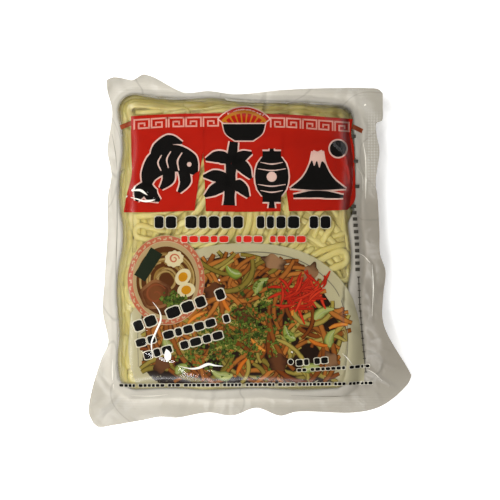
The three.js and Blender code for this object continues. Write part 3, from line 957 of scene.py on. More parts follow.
def stroke(line, widths, across=4, step=STEP_ALONG):
    """A strip along a smooth line, whose width runs through the widths given."""
    reach = np.linalg.norm(np.diff(np.array(line, float), axis=0), axis=1).sum()
    count = max(int(reach / step), len(line), 2)
    middle = smooth_line(line, count + 1)
    along = np.gradient(middle, axis=0)
    along /= np.linalg.norm(along, axis=1)[:, None]
    side = np.stack([-along[:, 1], along[:, 0]], 1)
    wide = np.interp(np.linspace(0, 1, count + 1), np.linspace(0, 1, len(widths)), widths)
    offset = np.linspace(0.5, -0.5, across + 1)
    return middle[:, None] + side[:, None] * (wide[:, None] * offset[None])[..., None]


def disc(middle, radii, turn=0.0, lobes=0, depth=0.0, cells=14):
    """A round or oval field, with lobes round its rim where they are asked for."""
    u, v = np.meshgrid(np.linspace(-1, 1, cells + 1), np.linspace(-1, 1, cells + 1))
    x, y = u * np.sqrt(1 - v * v / 2), v * np.sqrt(1 - u * u / 2)
    rim = 1 + depth * np.cos(lobes * np.arctan2(y, x)) * np.hypot(x, y) ** 2
    x, y = x * rim * radii[0], y * rim * radii[1]
    points = np.stack([x * math.cos(turn) - y * math.sin(turn),
                       x * math.sin(turn) + y * math.cos(turn)], -1)
    return points + np.array(middle)


# Gravure ink laminated behind gloss film: flat and even, with no shine of its own.
INK_FINISH = {"Roughness": 0.5, "IOR": 1.45, "Specular IOR Level": 0.06}


def ink_material(name, *colours):
    # Two close shades, for the faint mottling of a thin ink layer.
    return mottled_material(name, colours, 90.0, 5.0, INK_FINISH)


def laid_piece(name, shapes, materials, height=print_height):
    """Joins shapes into one piece. Each is a grid, its layer, its material and maybe a tone."""
    points, faces, used, tones, middles = [], [], [], [], []
    first = 0
    for grid, layer, material, *tone in shapes:
        rows, columns = grid.shape[:2]
        x, y = grid.reshape(-1, 2).T
        points.append(np.column_stack([x, y, height(x, y, layer)]))
        i, j = np.meshgrid(np.arange(rows - 1), np.arange(columns - 1), indexing="ij")
        a = (first + i * columns + j).ravel()
        faces.append(np.stack([a, a + columns, a + columns + 1, a + 1], 1))
        used.append(np.full(len(a), material))
        tones.append(np.full(len(x), tone[0] if tone else EVEN_TONE))
        middles.append(np.tile(1 - np.abs(np.linspace(-1, 1, columns)), rows))
        first += len(x)
    piece = new_piece(
        name, points, np.concatenate(faces).tolist(), tone=tones, middle=middles)
    for material in materials:
        piece.data.materials.append(material)
    polygons = piece.data.polygons
    polygons.foreach_set("material_index", np.concatenate(used).astype(np.int32))
    polygons.foreach_set("select", [polygon.normal.z <= 0 for polygon in polygons])
    bpy.ops.object.mode_set(mode="EDIT")
    bpy.ops.mesh.select_mode(type="FACE")
    bpy.ops.mesh.flip_normals()
    bpy.ops.object.mode_set(mode="OBJECT")
    pack_piece(piece)


def cut_line(line, start, end, count=7):
    """The part of a smooth line between two places across, from start to end."""
    dense = smooth_line(line, 200)
    return [(x, np.interp(x, *dense.T)) for x in np.linspace(start, end, count)]


def curtain_cloths():
    """The three cloths. Above the slits they meet, and below them they hang apart."""
    sides = [CURTAIN_LEFT]
    for (top_x, top_y), feet in zip(SLIT_TOPS, SLIT_FEET):
        head_y = np.interp(top_x, *zip(*CURTAIN_TOP))
        for foot, lap in zip(feet, (CLOTH_LAP, -CLOTH_LAP)):
            third = ((foot[0] + 2 * top_x) / 3, (foot[1] + 2 * top_y) / 3)
            sides.append([foot, third, (top_x + lap, top_y), (top_x + lap, head_y)])
    sides.append(CURTAIN_RIGHT)
    cloths = []
    for left, right in zip(sides[::2], sides[1::2]):
        middle = ((left[0][0] + right[0][0]) / 2, (left[0][1] + right[0][1]) / 2 - CLOTH_SAG)
        head = cut_line(CURTAIN_TOP, left[-1][0], right[-1][0])
        foot = [left[0], middle, right[0]]
        cloths.append(blended_sheet(foot, head, left, right, CLOTH_CELLS, CLOTH_CELLS))
    return cloths


curtain_red = ink_material("red_gravure_ink", "b21c08", "a61705")
rod_brown = ink_material("brown_gravure_ink", "8a3a1e", "964a2c")
laid_piece("print_curtain", [(stroke(ends, (ROD_WIDE, ROD_WIDE)), 0.0, 1) for ends in ROD_ENDS]
           + [(cloth, CURTAIN_LAYER, 0) for cloth in curtain_cloths()], [curtain_red, rod_brown])

# The key pattern along the curtain
# The squared spiral that runs round noodle bowls everywhere, printed in one pale ink as a
# border at the top of the curtain. Each unit is a run of straight bars, every other unit is
# turned over, and the row follows the edge of the cloth.

KEY_RUNS = [(-57.6, 8.6), (10.3, 8.0)]
KEY_UNITS = 5
KEY_GAP = 1.2
KEY_HIGH = 4.3
KEY_DROP = 2.0
KEY_LINE = 0.78
KEY_LAYER = 0.06
KEY_TURNS = [(0, 0), (0, 1), (1, 1), (1, 0), (0.3, 0), (0.3, 0.56), (0.7, 0.56), (0.7, 0.3)]


def key_unit(left, wide, turned_over):
    """The bars of one unit, each long enough to close its corner with the next."""
    bars = []
    for ends in zip(KEY_TURNS, KEY_TURNS[1:]):
        xs = [left + (1 - u if turned_over else u) * wide for u, _ in ends]
        bar = np.array([(x, np.interp(x, *zip(*CURTAIN_TOP)) - KEY_DROP - (1 - v) * KEY_HIGH)
                        for x, (_, v) in zip(xs, ends)])
        way = (bar[1] - bar[0]) / np.linalg.norm(bar[1] - bar[0])
        bars.append(stroke(bar + np.array([-way, way]) * KEY_LINE / 2, (KEY_LINE, KEY_LINE), 1))
    return bars


pale_ink = ink_material("pale_gravure_ink", "e2c4ba", "dab8ac")
key_ink = ink_material("pale_red_gravure_ink", "dba89a", "d09a8c")
laid_piece("print_key_border", [
    (bar, KEY_LAYER, 0) for start, pitch in KEY_RUNS for k in range(KEY_UNITS)
    for bar in key_unit(start + k * pitch, pitch - KEY_GAP, k % 2 == 1)], [key_ink])

# The fan over a bowl
# A plain ornament where the two halves of the border meet: a red folding fan with a gold band
# and ribs, opened behind a black bowl, both with a thin pale edge. Fields between two radii and
# two angles make the fan, and a panel between four edges the bowl.

FAN_PIVOT = (-3.0, 54.6)
FAN_RADII = (6.0, 16.4)
FAN_BAND = (13.4, 14.9)
FAN_ANGLES = (40, 140)
FAN_RIBS = 8
FAN_RIB_HALF = 1.8
PALE_EDGE = 0.6
BOWL_HALF = 10.6
BOWL_RIM = 62.6
BOWL_FOOT = 54.4
# As shares: the half width of its foot, then the half width and the height of its bulge.
BOWL_FOOT_WIDE = 0.42
BOWL_BULGE = (0.86, 0.42)


def fan_field(radii, angles):
    """A part of the fan between two radii and two angles, which are in degrees."""
    turns = np.radians(np.linspace(angles[1], angles[0], 25))[None, :, None]
    reach = np.linspace(radii[0], radii[1], 7)[:, None, None]
    return np.array(FAN_PIVOT) + reach * np.concatenate([np.cos(turns), np.sin(turns)], -1)


def bowl_field(grow):
    """A bowl seen from the side, made larger all round by grow."""
    x, half = FAN_PIVOT[0], BOWL_HALF + grow
    top, low = BOWL_RIM + grow, BOWL_FOOT - grow
    wide, high = BOWL_BULGE
    sides = [[(x + way * half * BOWL_FOOT_WIDE, low),
              (x + way * half * wide, low + (top - low) * high),
              (x + way * half, top)] for way in (-1, 1)]
    foot, rim = [[sides[0][end], (x, y), sides[1][end]] for end, y in ((0, low), (-1, top))]
    return blended_sheet(foot, rim, *sides, 16, 8)


def fan_shapes():
    low, high = FAN_ANGLES
    swing = math.degrees(PALE_EDGE / FAN_RADII[1])
    fields = [((FAN_RADII[0], FAN_RADII[1] + PALE_EDGE), (low - swing, high + swing), 0.07, 3),
              (FAN_RADII, FAN_ANGLES, 0.09, 1), (FAN_BAND, FAN_ANGLES, 0.11, 0)]
    for k in range(FAN_RIBS):
        turn = low + (high - low) * (k + 0.5) / FAN_RIBS
        angles = (turn - FAN_RIB_HALF, turn + FAN_RIB_HALF)
        fields.append(((FAN_RADII[0], FAN_BAND[0]), angles, 0.11, 0))
    return [(fan_field(radii, angles), layer, ink) for radii, angles, layer, ink in fields] + [
        (bowl_field(PALE_EDGE), 0.13, 3), (bowl_field(0), 0.15, 2)]


gold_ink = ink_material("gold_gravure_ink", "bf7c18", "b07010")
black_ink = ink_material("black_gravure_ink", "070504", "0c0907")
laid_piece("print_fan_and_bowl", fan_shapes(), [gold_ink, curtain_red, black_ink, pale_ink])

# The four brush pictures
# Bold black pictures in the manner of a wide wet brush, each with a pale edge all round: a
# leaping carp, a bamboo, a paper lantern, and a mountain with the sun. Each is a few strokes
# whose width swells and thins along their line.

PICTURE_EDGE = 1.5
BRUSH_SWELL = 0.7
EDGE_LAYER, BRUSH_LAYER, LINE_LAYER = 0.06, 0.09, 0.11
CARP = [
    ([(-51.4, 31.5), (-50, 37.5), (-45.4, 43), (-38, 45.6), (-31, 43.2), (-27, 38.2)],
     (3.0, 7.5, 11.5, 13.5, 12.5, 10.5, 2.4)),
    ([(-51.2, 33), (-54.6, 28.8), (-56.4, 24.2)], (3.2, 6.4, 0.8)),
    ([(-51.4, 33), (-49.0, 27.6), (-44.8, 24.4)], (3.2, 6.8, 0.8)),
    ([(-49.2, 44.6), (-46.2, 50.2), (-39.6, 54.6), (-33.6, 53.2)], (0.8, 4.8, 5.2, 0.4)),
    ([(-40.4, 41.5), (-40.6, 35.4), (-44.4, 30.4)], (5.0, 5.6, 0.8)),
    ([(-33.4, 40.5), (-32.2, 34.2), (-35.4, 28.6)], (4.6, 5.0, 0.8))]
CARP_LINES = [
    ([(-33.8, 48.4), (-36.0, 44.4), (-35.4, 39.6)], (0.5, 0.9, 0.5)),
    ([(-39.4, 49.0), (-41.4, 45.2), (-40.6, 40.8)], (0.5, 0.8, 0.5)),
    ([(-44.0, 47.2), (-45.8, 43.4), (-44.2, 39.4)], (0.5, 0.8, 0.5))]
CARP_EYE = ((-30.2, 42.6), 1.15)
BAMBOO = [
    ([(-10.4, 22.2), (-10.2, 27), (-9.9, 31.8)], (5.2, 4.4, 5.2)),
    ([(-9.9, 33.2), (-9.6, 38), (-9.2, 42.6)], (5.0, 4.2, 5.0)),
    ([(-9.1, 44.0), (-8.6, 49), (-8.0, 53.8)], (4.6, 4.0, 3.4)),
    ([(-10, 32.6), (-15, 31.4), (-22.6, 26.6)], (1.2, 5.6, 4.6, 0.5)),
    ([(-10, 32.6), (-15.8, 36.6), (-23.4, 36.8)], (1.2, 5.8, 4.8, 0.5)),
    ([(-9.2, 43.4), (-15, 46.4), (-22.2, 45.0)], (1.2, 5.6, 4.6, 0.5)),
    ([(-9.2, 43.4), (-4.0, 41.8), (0.6, 35.6)], (1.2, 5.8, 4.6, 0.5)),
    ([(-9.2, 43.4), (-4.0, 46.6), (1.0, 48.4)], (1.2, 5.4, 4.2, 0.5)),
    ([(-10, 32.6), (-5.0, 31.6), (-0.6, 26.2)], (1.2, 5.6, 4.2, 0.5))]
LANTERN = [
    ([(10.8, 46.4), (10.8, 36.4), (10.8, 26.6)], (8.6, 13.4, 15.4, 16, 15.4, 13.4, 8.6)),
    ([(6.2, 47.6), (15.4, 47.6)], (2.4, 2.4)),
    ([(6.2, 25.4), (15.4, 25.4)], (2.4, 2.4)),
    ([(10.8, 48.4), (10.8, 50.4)], (1.8, 1.2)),
    ([(10.8, 24.6), (10.8, 20.8)], (1.4, 2.6))]
LANTERN_LINES = [([(10.8 - half, y), (10.8, y - 0.9), (10.8 + half, y)], (0.3, 0.7, 0.3))
                 for half, y in ((5.6, 43.6), (6.9, 40.4), (6.9, 32.6), (5.6, 29.6))]
LANTERN_SPOT = ((10.8, 36.4), 2.5)
MOUNTAIN_FOOT = [(19.8, 30.6), (33.5, 29.8), (47.8, 30.4)]
MOUNTAIN_TOP = [(31.2, 49.0), (33.6, 48.2), (36.0, 49.2)]
MOUNTAIN_LEFT = [(19.8, 30.6), (26.2, 36.2), (29.6, 42.4), (31.2, 49.0)]
MOUNTAIN_RIGHT = [(47.8, 30.4), (41.2, 36.0), (37.6, 42.4), (36.0, 49.2)]
SNOW_FOOT = [(29.5, 42.4), (30.8, 44.6), (31.9, 41.6), (33.2, 44.4), (34.5, 40.8),
             (35.8, 44.2), (37.7, 42.4)]
SNOW_LEFT = [(29.5, 42.4), (30.6, 46.4), (31.2, 49.0)]
SNOW_RIGHT = [(37.7, 42.4), (36.6, 46.4), (36.0, 49.2)]
SUN = ((43.8, 50.4), 4.1)
MIST = ([(21.5, 26.8), (33, 27.8), (46.5, 26.6)], (0.8, 2.6, 2.8, 0.8))


def spot(middle, radius, layer, ink, cells=14):
    return disc(middle, (radius, radius), cells=cells), layer, ink


def brush_pictures():
    """The strokes with their edges below them, then the pale lines and spots on top."""
    strokes = [(line, np.array(widths) + BRUSH_SWELL)
               for line, widths in CARP + BAMBOO + LANTERN + [MIST]]
    mountain = (MOUNTAIN_FOOT, MOUNTAIN_TOP, MOUNTAIN_LEFT, MOUNTAIN_RIGHT)
    snow = (SNOW_FOOT, MOUNTAIN_TOP, SNOW_LEFT, SNOW_RIGHT)
    sun, radius = SUN
    return [
        *((stroke(line, widths + PICTURE_EDGE), EDGE_LAYER, 1) for line, widths in strokes),
        *((stroke(line, (PICTURE_EDGE, PICTURE_EDGE), 2), EDGE_LAYER, 1) for line in mountain),
        spot(sun, radius + PICTURE_EDGE / 2, EDGE_LAYER, 1), spot(sun, radius, BRUSH_LAYER, 0),
        (blended_sheet(*mountain, 16, 16), BRUSH_LAYER, 0),
        *((stroke(line, widths), BRUSH_LAYER, 0) for line, widths in strokes),
        (blended_sheet(*snow, 24, 6), LINE_LAYER, 1),
        *((stroke(line, widths, 2), LINE_LAYER, 1) for line, widths in CARP_LINES + LANTERN_LINES),
        *(spot(*place, LINE_LAYER, 1, 8) for place in (CARP_EYE, LANTERN_SPOT))]


laid_piece("print_brush_pictures", brush_pictures(), [black_ink, pale_ink])

# The picture of a plate of fried noodles
# A serving suggestion made of plain printed shapes: a pale plate with a thin rim line, a dark
# ground, and a nest of sauce-brown noodles as curved strips. The toppings lie in an arrangement
# of their own: cabbage, meat, carrot, green flakes and a heap of red ginger.

PLATE_FOOT = [(-56.5, -67.4), (-20, -68.2), (15, -68.2), (56.8, -66.6)]
PLATE_RIM = [(-59.2, -32), (-46, -10), (-24, 1.0), (1, 3.4), (19.9, 1.0), (32, -3.7),
             (41.2, -10.6), (47.2, -17.5), (51.4, -24.5)]
PLATE_LEFT = [(-56.5, -67.4), (-60.4, -52), (-59.2, -32)]
PLATE_RIGHT = [(56.8, -66.6), (57.2, -57.6), (56.2, -48), (54.6, -36), (51.4, -24.5)]
RIM_LINE = [(-55.6, -58), (-54.8, -36), (-43, -15), (-22, -4.5), (1, -1.0), (18, -3.0),
            (29.4, -7.8), (37.6, -14), (43.4, -21), (47.4, -32), (48.6, -46), (47.6, -58)]
PILE_MIDDLE = (-4.0, -38.5)
PILE_RADII = (51.0, 36.5)
PILE_FOOT = -66.4
PILE_LEFT = -55.4
NEST_MIDDLES = [(10.0, -34.0), (-24.0, -44.0), (26.0, -52.0)]
PICTURED_NOODLES = 200
PICTURED_LAYER = 0.02
PICTURED_STEP = 0.0012
TOPPING_GAP = 0.018
TOPPING_STEP = 0.00012
LEAF_SPOTS = [
    (37, -32, 0.5, 11), (41, -44, 1.3, 9), (-8, -10, 2.6, 9), (-40, -46, 2.0, 9),
    (31, -60, 0.1, 10), (-14, -61, 2.9, 11), (6, -18, 0.9, 10), (20, -41, 2.2, 9),
    (-33, -60, 0.4, 8)]
MEAT_SPOTS = [(-18, -20, 0.4), (30, -12, 1.2), (-3, -33, 2.4), (14, -56, 0.2), (-44, -57, 1.0),
              (40, -55, 2.0), (12, -6, 2.8)]
CARROT_SPOTS = [(-27, -34, 0.6), (4, -47, 2.4), (22, -28, 1.4), (44, -38, 0.2), (-4, -58, 1.0),
                (-12, -26, 2.0), (34, -46, 2.8)]
FLAKE_CLUSTERS = [((-12, -45), (9, 6), 300), ((2, -36), (8, 8), 260), ((-26, -52), (7, 4), 70),
                  ((16, -20), (6, 3), 45)]
FLAKE_SIZE = (0.4, 1.15)
GINGER_MIDDLE = (27.0, -22.0)
GINGER_SPREAD = (5.4, 3.8)
GINGER_STICKS = 64


def pile_reach(u, v):
    """1 on the rim of the pile, whose lower corners are squarer than its top."""
    power = np.where(np.asarray(v) > 0, 2.0, 4.0)
    return (np.abs(u) ** power + np.abs(v) ** power) ** (1 / power)


def in_pile(x, y, share=1.0):
    u, v = (x - PILE_MIDDLE[0]) / PILE_RADII[0], (y - PILE_MIDDLE[1]) / PILE_RADII[1]
    wobble = 1 + 0.05 * math.sin(7 * math.atan2(v, u) + 1)
    return pile_reach(u, v) < share * wobble and y > PILE_FOOT and x > PILE_LEFT


def pictured_noodle(draw):
    """A curved strip that starts in the pile and turns round the nearest nest."""
    while True:
        x = draw.uniform(PILE_MIDDLE[0] - PILE_RADII[0], PILE_MIDDLE[0] + PILE_RADII[0])
        y = draw.uniform(PILE_FOOT, PILE_MIDDLE[1] + PILE_RADII[1])
        if in_pile(x, y):
            break
    nest = min(NEST_MIDDLES, key=lambda middle: math.hypot(middle[0] - x, middle[1] - y))
    heading = math.atan2(y - nest[1], x - nest[0]) + math.pi / 2
    heading += draw.choice((0, math.pi)) + draw.gauss(0, 0.5)
    bend = draw.choice((-1, 1)) / draw.uniform(8, 40)
    line = [(x, y)]
    for _ in range(int(draw.uniform(10, 27))):
        heading += 2 * bend
        x, y = x + 2 * math.cos(heading), y + 2 * math.sin(heading)
        if not in_pile(x, y, 1.03):
            break
        line.append((x, y))
    return line


def short_line(x, y, turn, reach, bow):
    """A line through a place, bowed to one side."""
    way = np.array([math.cos(turn), math.sin(turn)])
    side = np.array([-way[1], way[0]])
    return [np.array([x, y]) + way * share * reach / 2 + side * bow * (1 - share ** 2)
            for share in (-1, -0.5, 0, 0.5, 1)]


def pile_ground():
    """The dark ground of the pile: a disc drawn out to the pile's own rim."""
    ground = disc((0, 0), (0.95, 0.95), 0, 7, 0.03, 48)
    u, v = ground[..., 0], ground[..., 1]
    ground = ground * (np.hypot(u, v) / (pile_reach(u, v) + 1e-9))[..., None]
    return np.maximum(ground * PILE_RADII + PILE_MIDDLE, (PILE_LEFT, PILE_FOOT))


def plate_shapes():
    draw = random.Random(23)
    shapes = [(blended_sheet(PLATE_FOOT, PLATE_RIM, PLATE_LEFT, PLATE_RIGHT, 60, 40), 0.0, 0),
              (stroke(RIM_LINE, (0.3, 0.6, 0.6, 0.3), 2), 0.006, 1), (pile_ground(), 0.012, 2)]
    layer = PICTURED_LAYER
    made = 0
    while made < PICTURED_NOODLES:
        line = pictured_noodle(draw)
        if len(line) > 3:
            wide = draw.uniform(2.3, 3.1)
            widths = (wide * 0.75, wide, wide, wide * 0.75)
            shapes.append((stroke(line, widths), layer, 3 + (made % 3 == 0), draw.random()))
            layer += PICTURED_STEP
            made += 1
    return shapes, layer


def topping_shapes(layer):
    draw = random.Random(29)
    laid = []
    for x, y, turn in MEAT_SPOTS:
        radii = (draw.uniform(4.4, 6.2), draw.uniform(3.0, 4.2))
        laid.append((disc((x, y), radii, turn, 5, 0.14, 10), 2))
    for x, y, turn, reach in LEAF_SPOTS:
        laid.append((stroke(short_line(x, y, turn, reach, 1.6), (1.2, 5.2, 4.6, 3.0, 0.8)), 1))
        laid.append((stroke(short_line(x, y, turn, reach * 0.8, 1.2), (0.9, 1.2, 0.4), 2), 5))
    for x, y, turn in CARROT_SPOTS:
        laid.append((stroke(short_line(x, y, turn, 9.5, 0.8), (1.2, 2.2, 2.2, 1.2)), 4))
    for (x, y), (spread_x, spread_y), count in FLAKE_CLUSTERS:
        for _ in range(count):
            place = (draw.gauss(x, spread_x), draw.gauss(y, spread_y))
            reach = draw.uniform(*FLAKE_SIZE)
            if in_pile(*place):
                radii = (reach, reach * draw.uniform(0.4, 0.9))
                laid.append((disc(place, radii, draw.uniform(0, 3), 3, 0.25, 3), 0))
    for _ in range(GINGER_STICKS):
        x, y = [draw.gauss(*at) for at in zip(GINGER_MIDDLE, GINGER_SPREAD)]
        line = short_line(x, y, draw.gauss(0.5, 0.8), draw.uniform(6, 11), draw.uniform(-1.2, 1.2))
        laid.append((stroke(line, (0.8, 1.8, 0.7), 2), 3))
    return [(grid, layer + TOPPING_GAP + k * TOPPING_STEP, ink, draw.random())
            for k, (grid, ink) in enumerate(laid)]


def pictured_food(name, edge, deep, pale):
    # Four-colour print of cooked food: dark at the sides of each piece and lighter along its
    # middle, as such a noodle or leaf is, with one colour to each piece.
    material, tree = new_material(name)
    place = add_node(tree, "TexCoord").outputs["Object"]
    tone, middle = [add_node(tree, "Attribute", attribute_name=label).outputs["Fac"]
                    for label in ("tone", "middle")]
    blotch = add_node(tree, "TexNoise", {"Vector": place, "Scale": 330.0, "Detail": 4.0})
    lit = add_node(tree, "Mix", {
        "Factor": tone, "A": linear(deep), "B": linear(pale)}, data_type="RGBA")
    depth = add_node(tree, "Math", {0: blotch, 1: 0.8, 2: middle}, operation="MULTIPLY_ADD")
    share = add_node(tree, "MapRange", {
        "Value": depth, "From Min": 0.25, "From Max": 1.1}, interpolation_type="SMOOTHSTEP")
    tint = add_node(tree, "Mix", {
        "Factor": share, "A": linear(edge), "B": lit}, data_type="RGBA")
    surface = add_node(tree, "BsdfPrincipled", {"Base Color": tint, **INK_FINISH})
    add_node(tree, "OutputMaterial", {"Surface": surface})
    return material


plate_ink = ink_material("plate_white_ink", "b8b193", "aca382")
plate_line_ink = ink_material("plate_line_ink", "6f6a58", "7c7664")
sauce_ink = ink_material("sauce_brown_ink", "281608", "1a0c04")
orange_noodle = pictured_food("sauce_noodle_print", "241004", "74380e", "b4702e")
yellow_noodle = pictured_food("pale_noodle_print", "2c2208", "74621e", "aa984a")
green_print = pictured_food("green_flake_print", "141c08", "2a400e", "66782a")
leaf_print = pictured_food("cabbage_print", "4a581a", "7f9134", "b4b674")
rib_print = pictured_food("cabbage_rib_print", "7e8a4c", "a2aa72", "c0c296")
meat_print = pictured_food("fried_meat_print", "281408", "5a3218", "947050")
ginger_print = pictured_food("red_ginger_print", "600c04", "a61c0a", "cc3c20")
carrot_print = pictured_food("carrot_print", "7a3406", "c06418", "d48a36")
plate, top_layer = plate_shapes()
laid_piece("print_plate_of_noodles", plate, [
    plate_ink, plate_line_ink, sauce_ink, orange_noodle, yellow_noodle])
laid_piece("print_toppings", topping_shapes(top_layer), [
    green_print, leaf_print, meat_print, ginger_print, carrot_print, rib_print])

# The picture of a round soup bowl
# A second serving suggestion in plain shapes, over the left end of the plate: a pale bowl seen
# from above with a pink patterned rim and brown broth. Noodles, a coiled slice of meat, two
# halves of an egg, a fish cake, a sheet of seaweed and leeks lie in an arrangement of their own.

SOUP_MIDDLE = (-41.7, -15.0)
SOUP_RADII = (19.2, 22.3)
SOUP_BASE = 0.35
RIM_SHARE = 0.93
RIM_WIDE = 2.5
RIM_UNITS = 40
RIM_MARK = 0.022
WALL_SHARE = 0.86
BROTH_SHARE = 0.77
SOUP_NOODLES = 34
SOUP_LEEKS = 70
# Places from the middle of the bowl. An egg half also has its turn and its height in the pile.
SEAWEED = ((-13.2, 1.0), (-4.6, 14.6))
COILED_MEAT = (-5.2, -7.2)
FISH_CAKE = (4.0, 10.6)
EGG_HALVES = [((8.4, 1.6), 0.9, 0.0), ((10.02, -4.88), 0.3, 0.0162)]
LEEKS = ((3.6, 3.0), (-10.6, 2.2))


def arc_line(middle, radii, start, sweep, count):
    """Points along an arc or a coil. The radii run from first to last, the angles in degrees."""
    angles = np.radians(start + np.linspace(0, sweep, count))
    return [(middle[0] + r * math.cos(a), middle[1] + r * math.sin(a))
            for r, a in zip(np.linspace(*radii, count), angles)]


def soup_bowl_shapes():
    draw = random.Random(37)
    x, y = SOUP_MIDDLE
    rx, ry = SOUP_RADII
    seaweed = [(x + at[0], y + at[1]) for at in SEAWEED]
    meat, cake = [(x + at[0], y + at[1]) for at in (COILED_MEAT, FISH_CAKE)]

    def around(share, turn):
        return x + rx * share * math.cos(turn), y + ry * share * math.sin(turn)

    rim = [around(RIM_SHARE, turn) for turn in np.linspace(0, 2 * np.pi, 61)]
    laid = [(disc((x, y), (rx, ry), cells=30), 0.0, 0),
            (stroke(rim, (RIM_WIDE, RIM_WIDE), 2), 0.012, 1)]
    for k in range(RIM_UNITS):
        start, sweep = 2 * math.pi * k / RIM_UNITS, math.pi / RIM_UNITS
        share = RIM_SHARE + (RIM_MARK if k % 2 else -RIM_MARK)
        line = [around(share, start + sweep * part) for part in (0, 0.5, 1)]
        cross = [around(RIM_SHARE + way * RIM_MARK, start) for way in (-1, 1)]
        laid += [(stroke(line, (0.7, 0.7), 1, 0.5), 0.022, 0),
                 (stroke(cross, (0.55, 0.55), 1, 0.5), 0.022, 0)]
    laid += [(disc((x, y), (rx * WALL_SHARE, ry * WALL_SHARE), cells=30), 0.034, 9),
             (disc((x, y - 0.4), (rx * BROTH_SHARE, ry * BROTH_SHARE), cells=30), 0.048, 2)]
    for k in range(SOUP_NOODLES):
        reach = draw.uniform(0.18, 0.7) * rx
        line = arc_line((x, y), (reach, reach * draw.uniform(0.9, 1.12)), draw.uniform(0, 360),
                        draw.uniform(40, 120), 6)
        laid.append((stroke(line, (1.0, 1.5, 1.0), 2), 0.06 + 0.001 * k, 3, draw.random()))
    laid += [(stroke(seaweed, (6.4, 6.8), 4), 0.11, 10, 0.4),
             (disc(meat, (8.0, 7.2), 0.4, 5, 0.04, 16), 0.12, 4),
             (disc(meat, (6.4, 5.7), 0.4, 5, 0.06, 16), 0.128, 4, 0.0),
             (stroke(arc_line(meat, (5.6, 1.0), 30, 460, 22), (0.5, 1.0, 0.5), 2), 0.136, 5)]
    for at, turn, high in EGG_HALVES:
        egg = (x + at[0], y + at[1])
        laid += [(disc(egg, (4.5, 3.5), turn), 0.12 + high, 6),
                 (disc(egg, (2.5, 2.2), turn), 0.128 + high, 7)]
    laid += [(disc(cake, (4.6, 4.0), 0.3, 10, 0.06), 0.12, 6),
             (stroke(arc_line(cake, (2.6, 0.5), 0, 480, 18), (0.6, 0.9, 0.6), 2), 0.128, 1)]
    for k in range(SOUP_LEEKS):
        place = [middle + draw.gauss(*at) for middle, at in zip(SOUP_MIDDLE, LEEKS)]
        reach = draw.uniform(0.6, 1.5)
        leek = disc(place, (reach, reach * 0.6), draw.uniform(0, 3), 3, 0.25, 4)
        laid.append((leek, 0.145 + 0.0006 * k, 8, draw.random()))
    return [(grid, SOUP_BASE + layer, *rest) for grid, layer, *rest in laid]


rim_ink = ink_material("bowl_white_ink", "bcab88", "ae9c76")
wall_ink = ink_material("bowl_wall_ink", "ad986f", "9e875e")
pink_ink = ink_material("pink_gravure_ink", "b4664c", "a85a42")
broth_ink = ink_material("broth_brown_ink", "5a300e", "422208")
soup_noodle = pictured_food("soup_noodle_print", "4c300e", "8c6a32", "ac925a")
coil_meat = pictured_food("soup_meat_print", "4e2810", "70401e", "986a42")
meat_line_ink = ink_material("meat_line_ink", "7a3c1e", "8a4a28")
egg_ink = ink_material("egg_white_ink", "cdc2a0", "c2b690")
yolk_ink = ink_material("egg_yolk_ink", "bb8412", "ab740c")
seaweed_ink = ink_material("seaweed_ink", "141c10", "202a18")
laid_piece("print_soup_bowl", soup_bowl_shapes(), [
    rim_ink, pink_ink, broth_ink, soup_noodle, coil_meat, meat_line_ink, egg_ink, yolk_ink,
    green_print, wall_ink, seaweed_ink])

# The rows of plain bars
# Where such a pack carries its wording, this one has rows of plain bars: a black and a red row
# under the curtain, three slanting rows over the pictures, and small rows at the foot and down
# the right side. Each bar has cut corners, and the larger ones a white edge.

BAR_LAYER = 0.6
BAR_EDGE_LAYER = 0.57
BAR_ROWS = [
    # start, end, height, numbers of bars in each group, ink, edge
    ((-47.4, 13.8), (-2.4, 13.8), 6.0, (2, 5), 0, 0.7),
    ((3.4, 13.8), (41.2, 13.8), 6.0, (4, 2), 0, 0.7),
    ((-34.2, 5.4), (28.6, 5.4), 3.2, (5, 3, 4), 1, 0.5),
    ((-57.6, -38.4), (-11.6, -20.8), 5.2, (2, 3, 1), 0, 1.0),
    ((-56.6, -46.6), (-9.4, -33.4), 3.8, (2, 5, 1), 0, 0.9),
    ((-52.6, -52.8), (-12.6, -41.6), 3.8, (3, 4), 0, 0.9),
    ((23.0, -56.2), (39.4, -54.6), 3.0, (2, 2), 0, 0.7),
    ((23.4, -59.8), (60.2, -57.8), 1.5, (2, 7, 4), 0, 0.5),
    ((-65.2, -67.5), (-4.0, -67.0), 1.5, (4, 6, 3, 8, 5), 0, 0.4),
    ((-2.0, -67.0), (61.6, -66.4), 1.5, (7, 4, 9, 3, 6), 0, 0.4)]
BAR_GAP = 0.22
GROUP_GAP = 0.7
CORNER_CUT = (0.22, 0.8)
BAR_END = 0.7
DOT = ((20.2, -55.6), 1.25)
SIDE_MARKS = [(51.6, 56.7), (52.7, 44.2), (53.4, 31.7)]
SIDE_ROW = [(51.7, 21.7), (53.0, 8.0), (53.6, -9.7)]
SIDE_MARK = (2.3, 1.7)
SIDE_RULE = [(54.2, -13.5), (55.0, -30), (56.2, -44), (57.8, -61)]
RULE_WIDE = 0.4
TICK = (1.5, 0.4)


def bar_row(start, end, groups, draw):
    """The two ends of each bar along a line, in groups with a wider gap between them."""
    parts = []
    for size in groups:
        parts += [draw.uniform(0.6, 1.1) for _ in range(size)] + [None]
    parts.pop()
    start, end = np.array(start, float), np.array(end, float)
    total = sum(GROUP_GAP if part is None else part + BAR_GAP for part in parts)
    unit = (end - start) / total
    at = 0.0
    bars = []
    for part in parts:
        if part is None:
            at += GROUP_GAP
        else:
            bars.append((start + unit * at, start + unit * (at + part)))
            at += part + BAR_GAP
    return bars


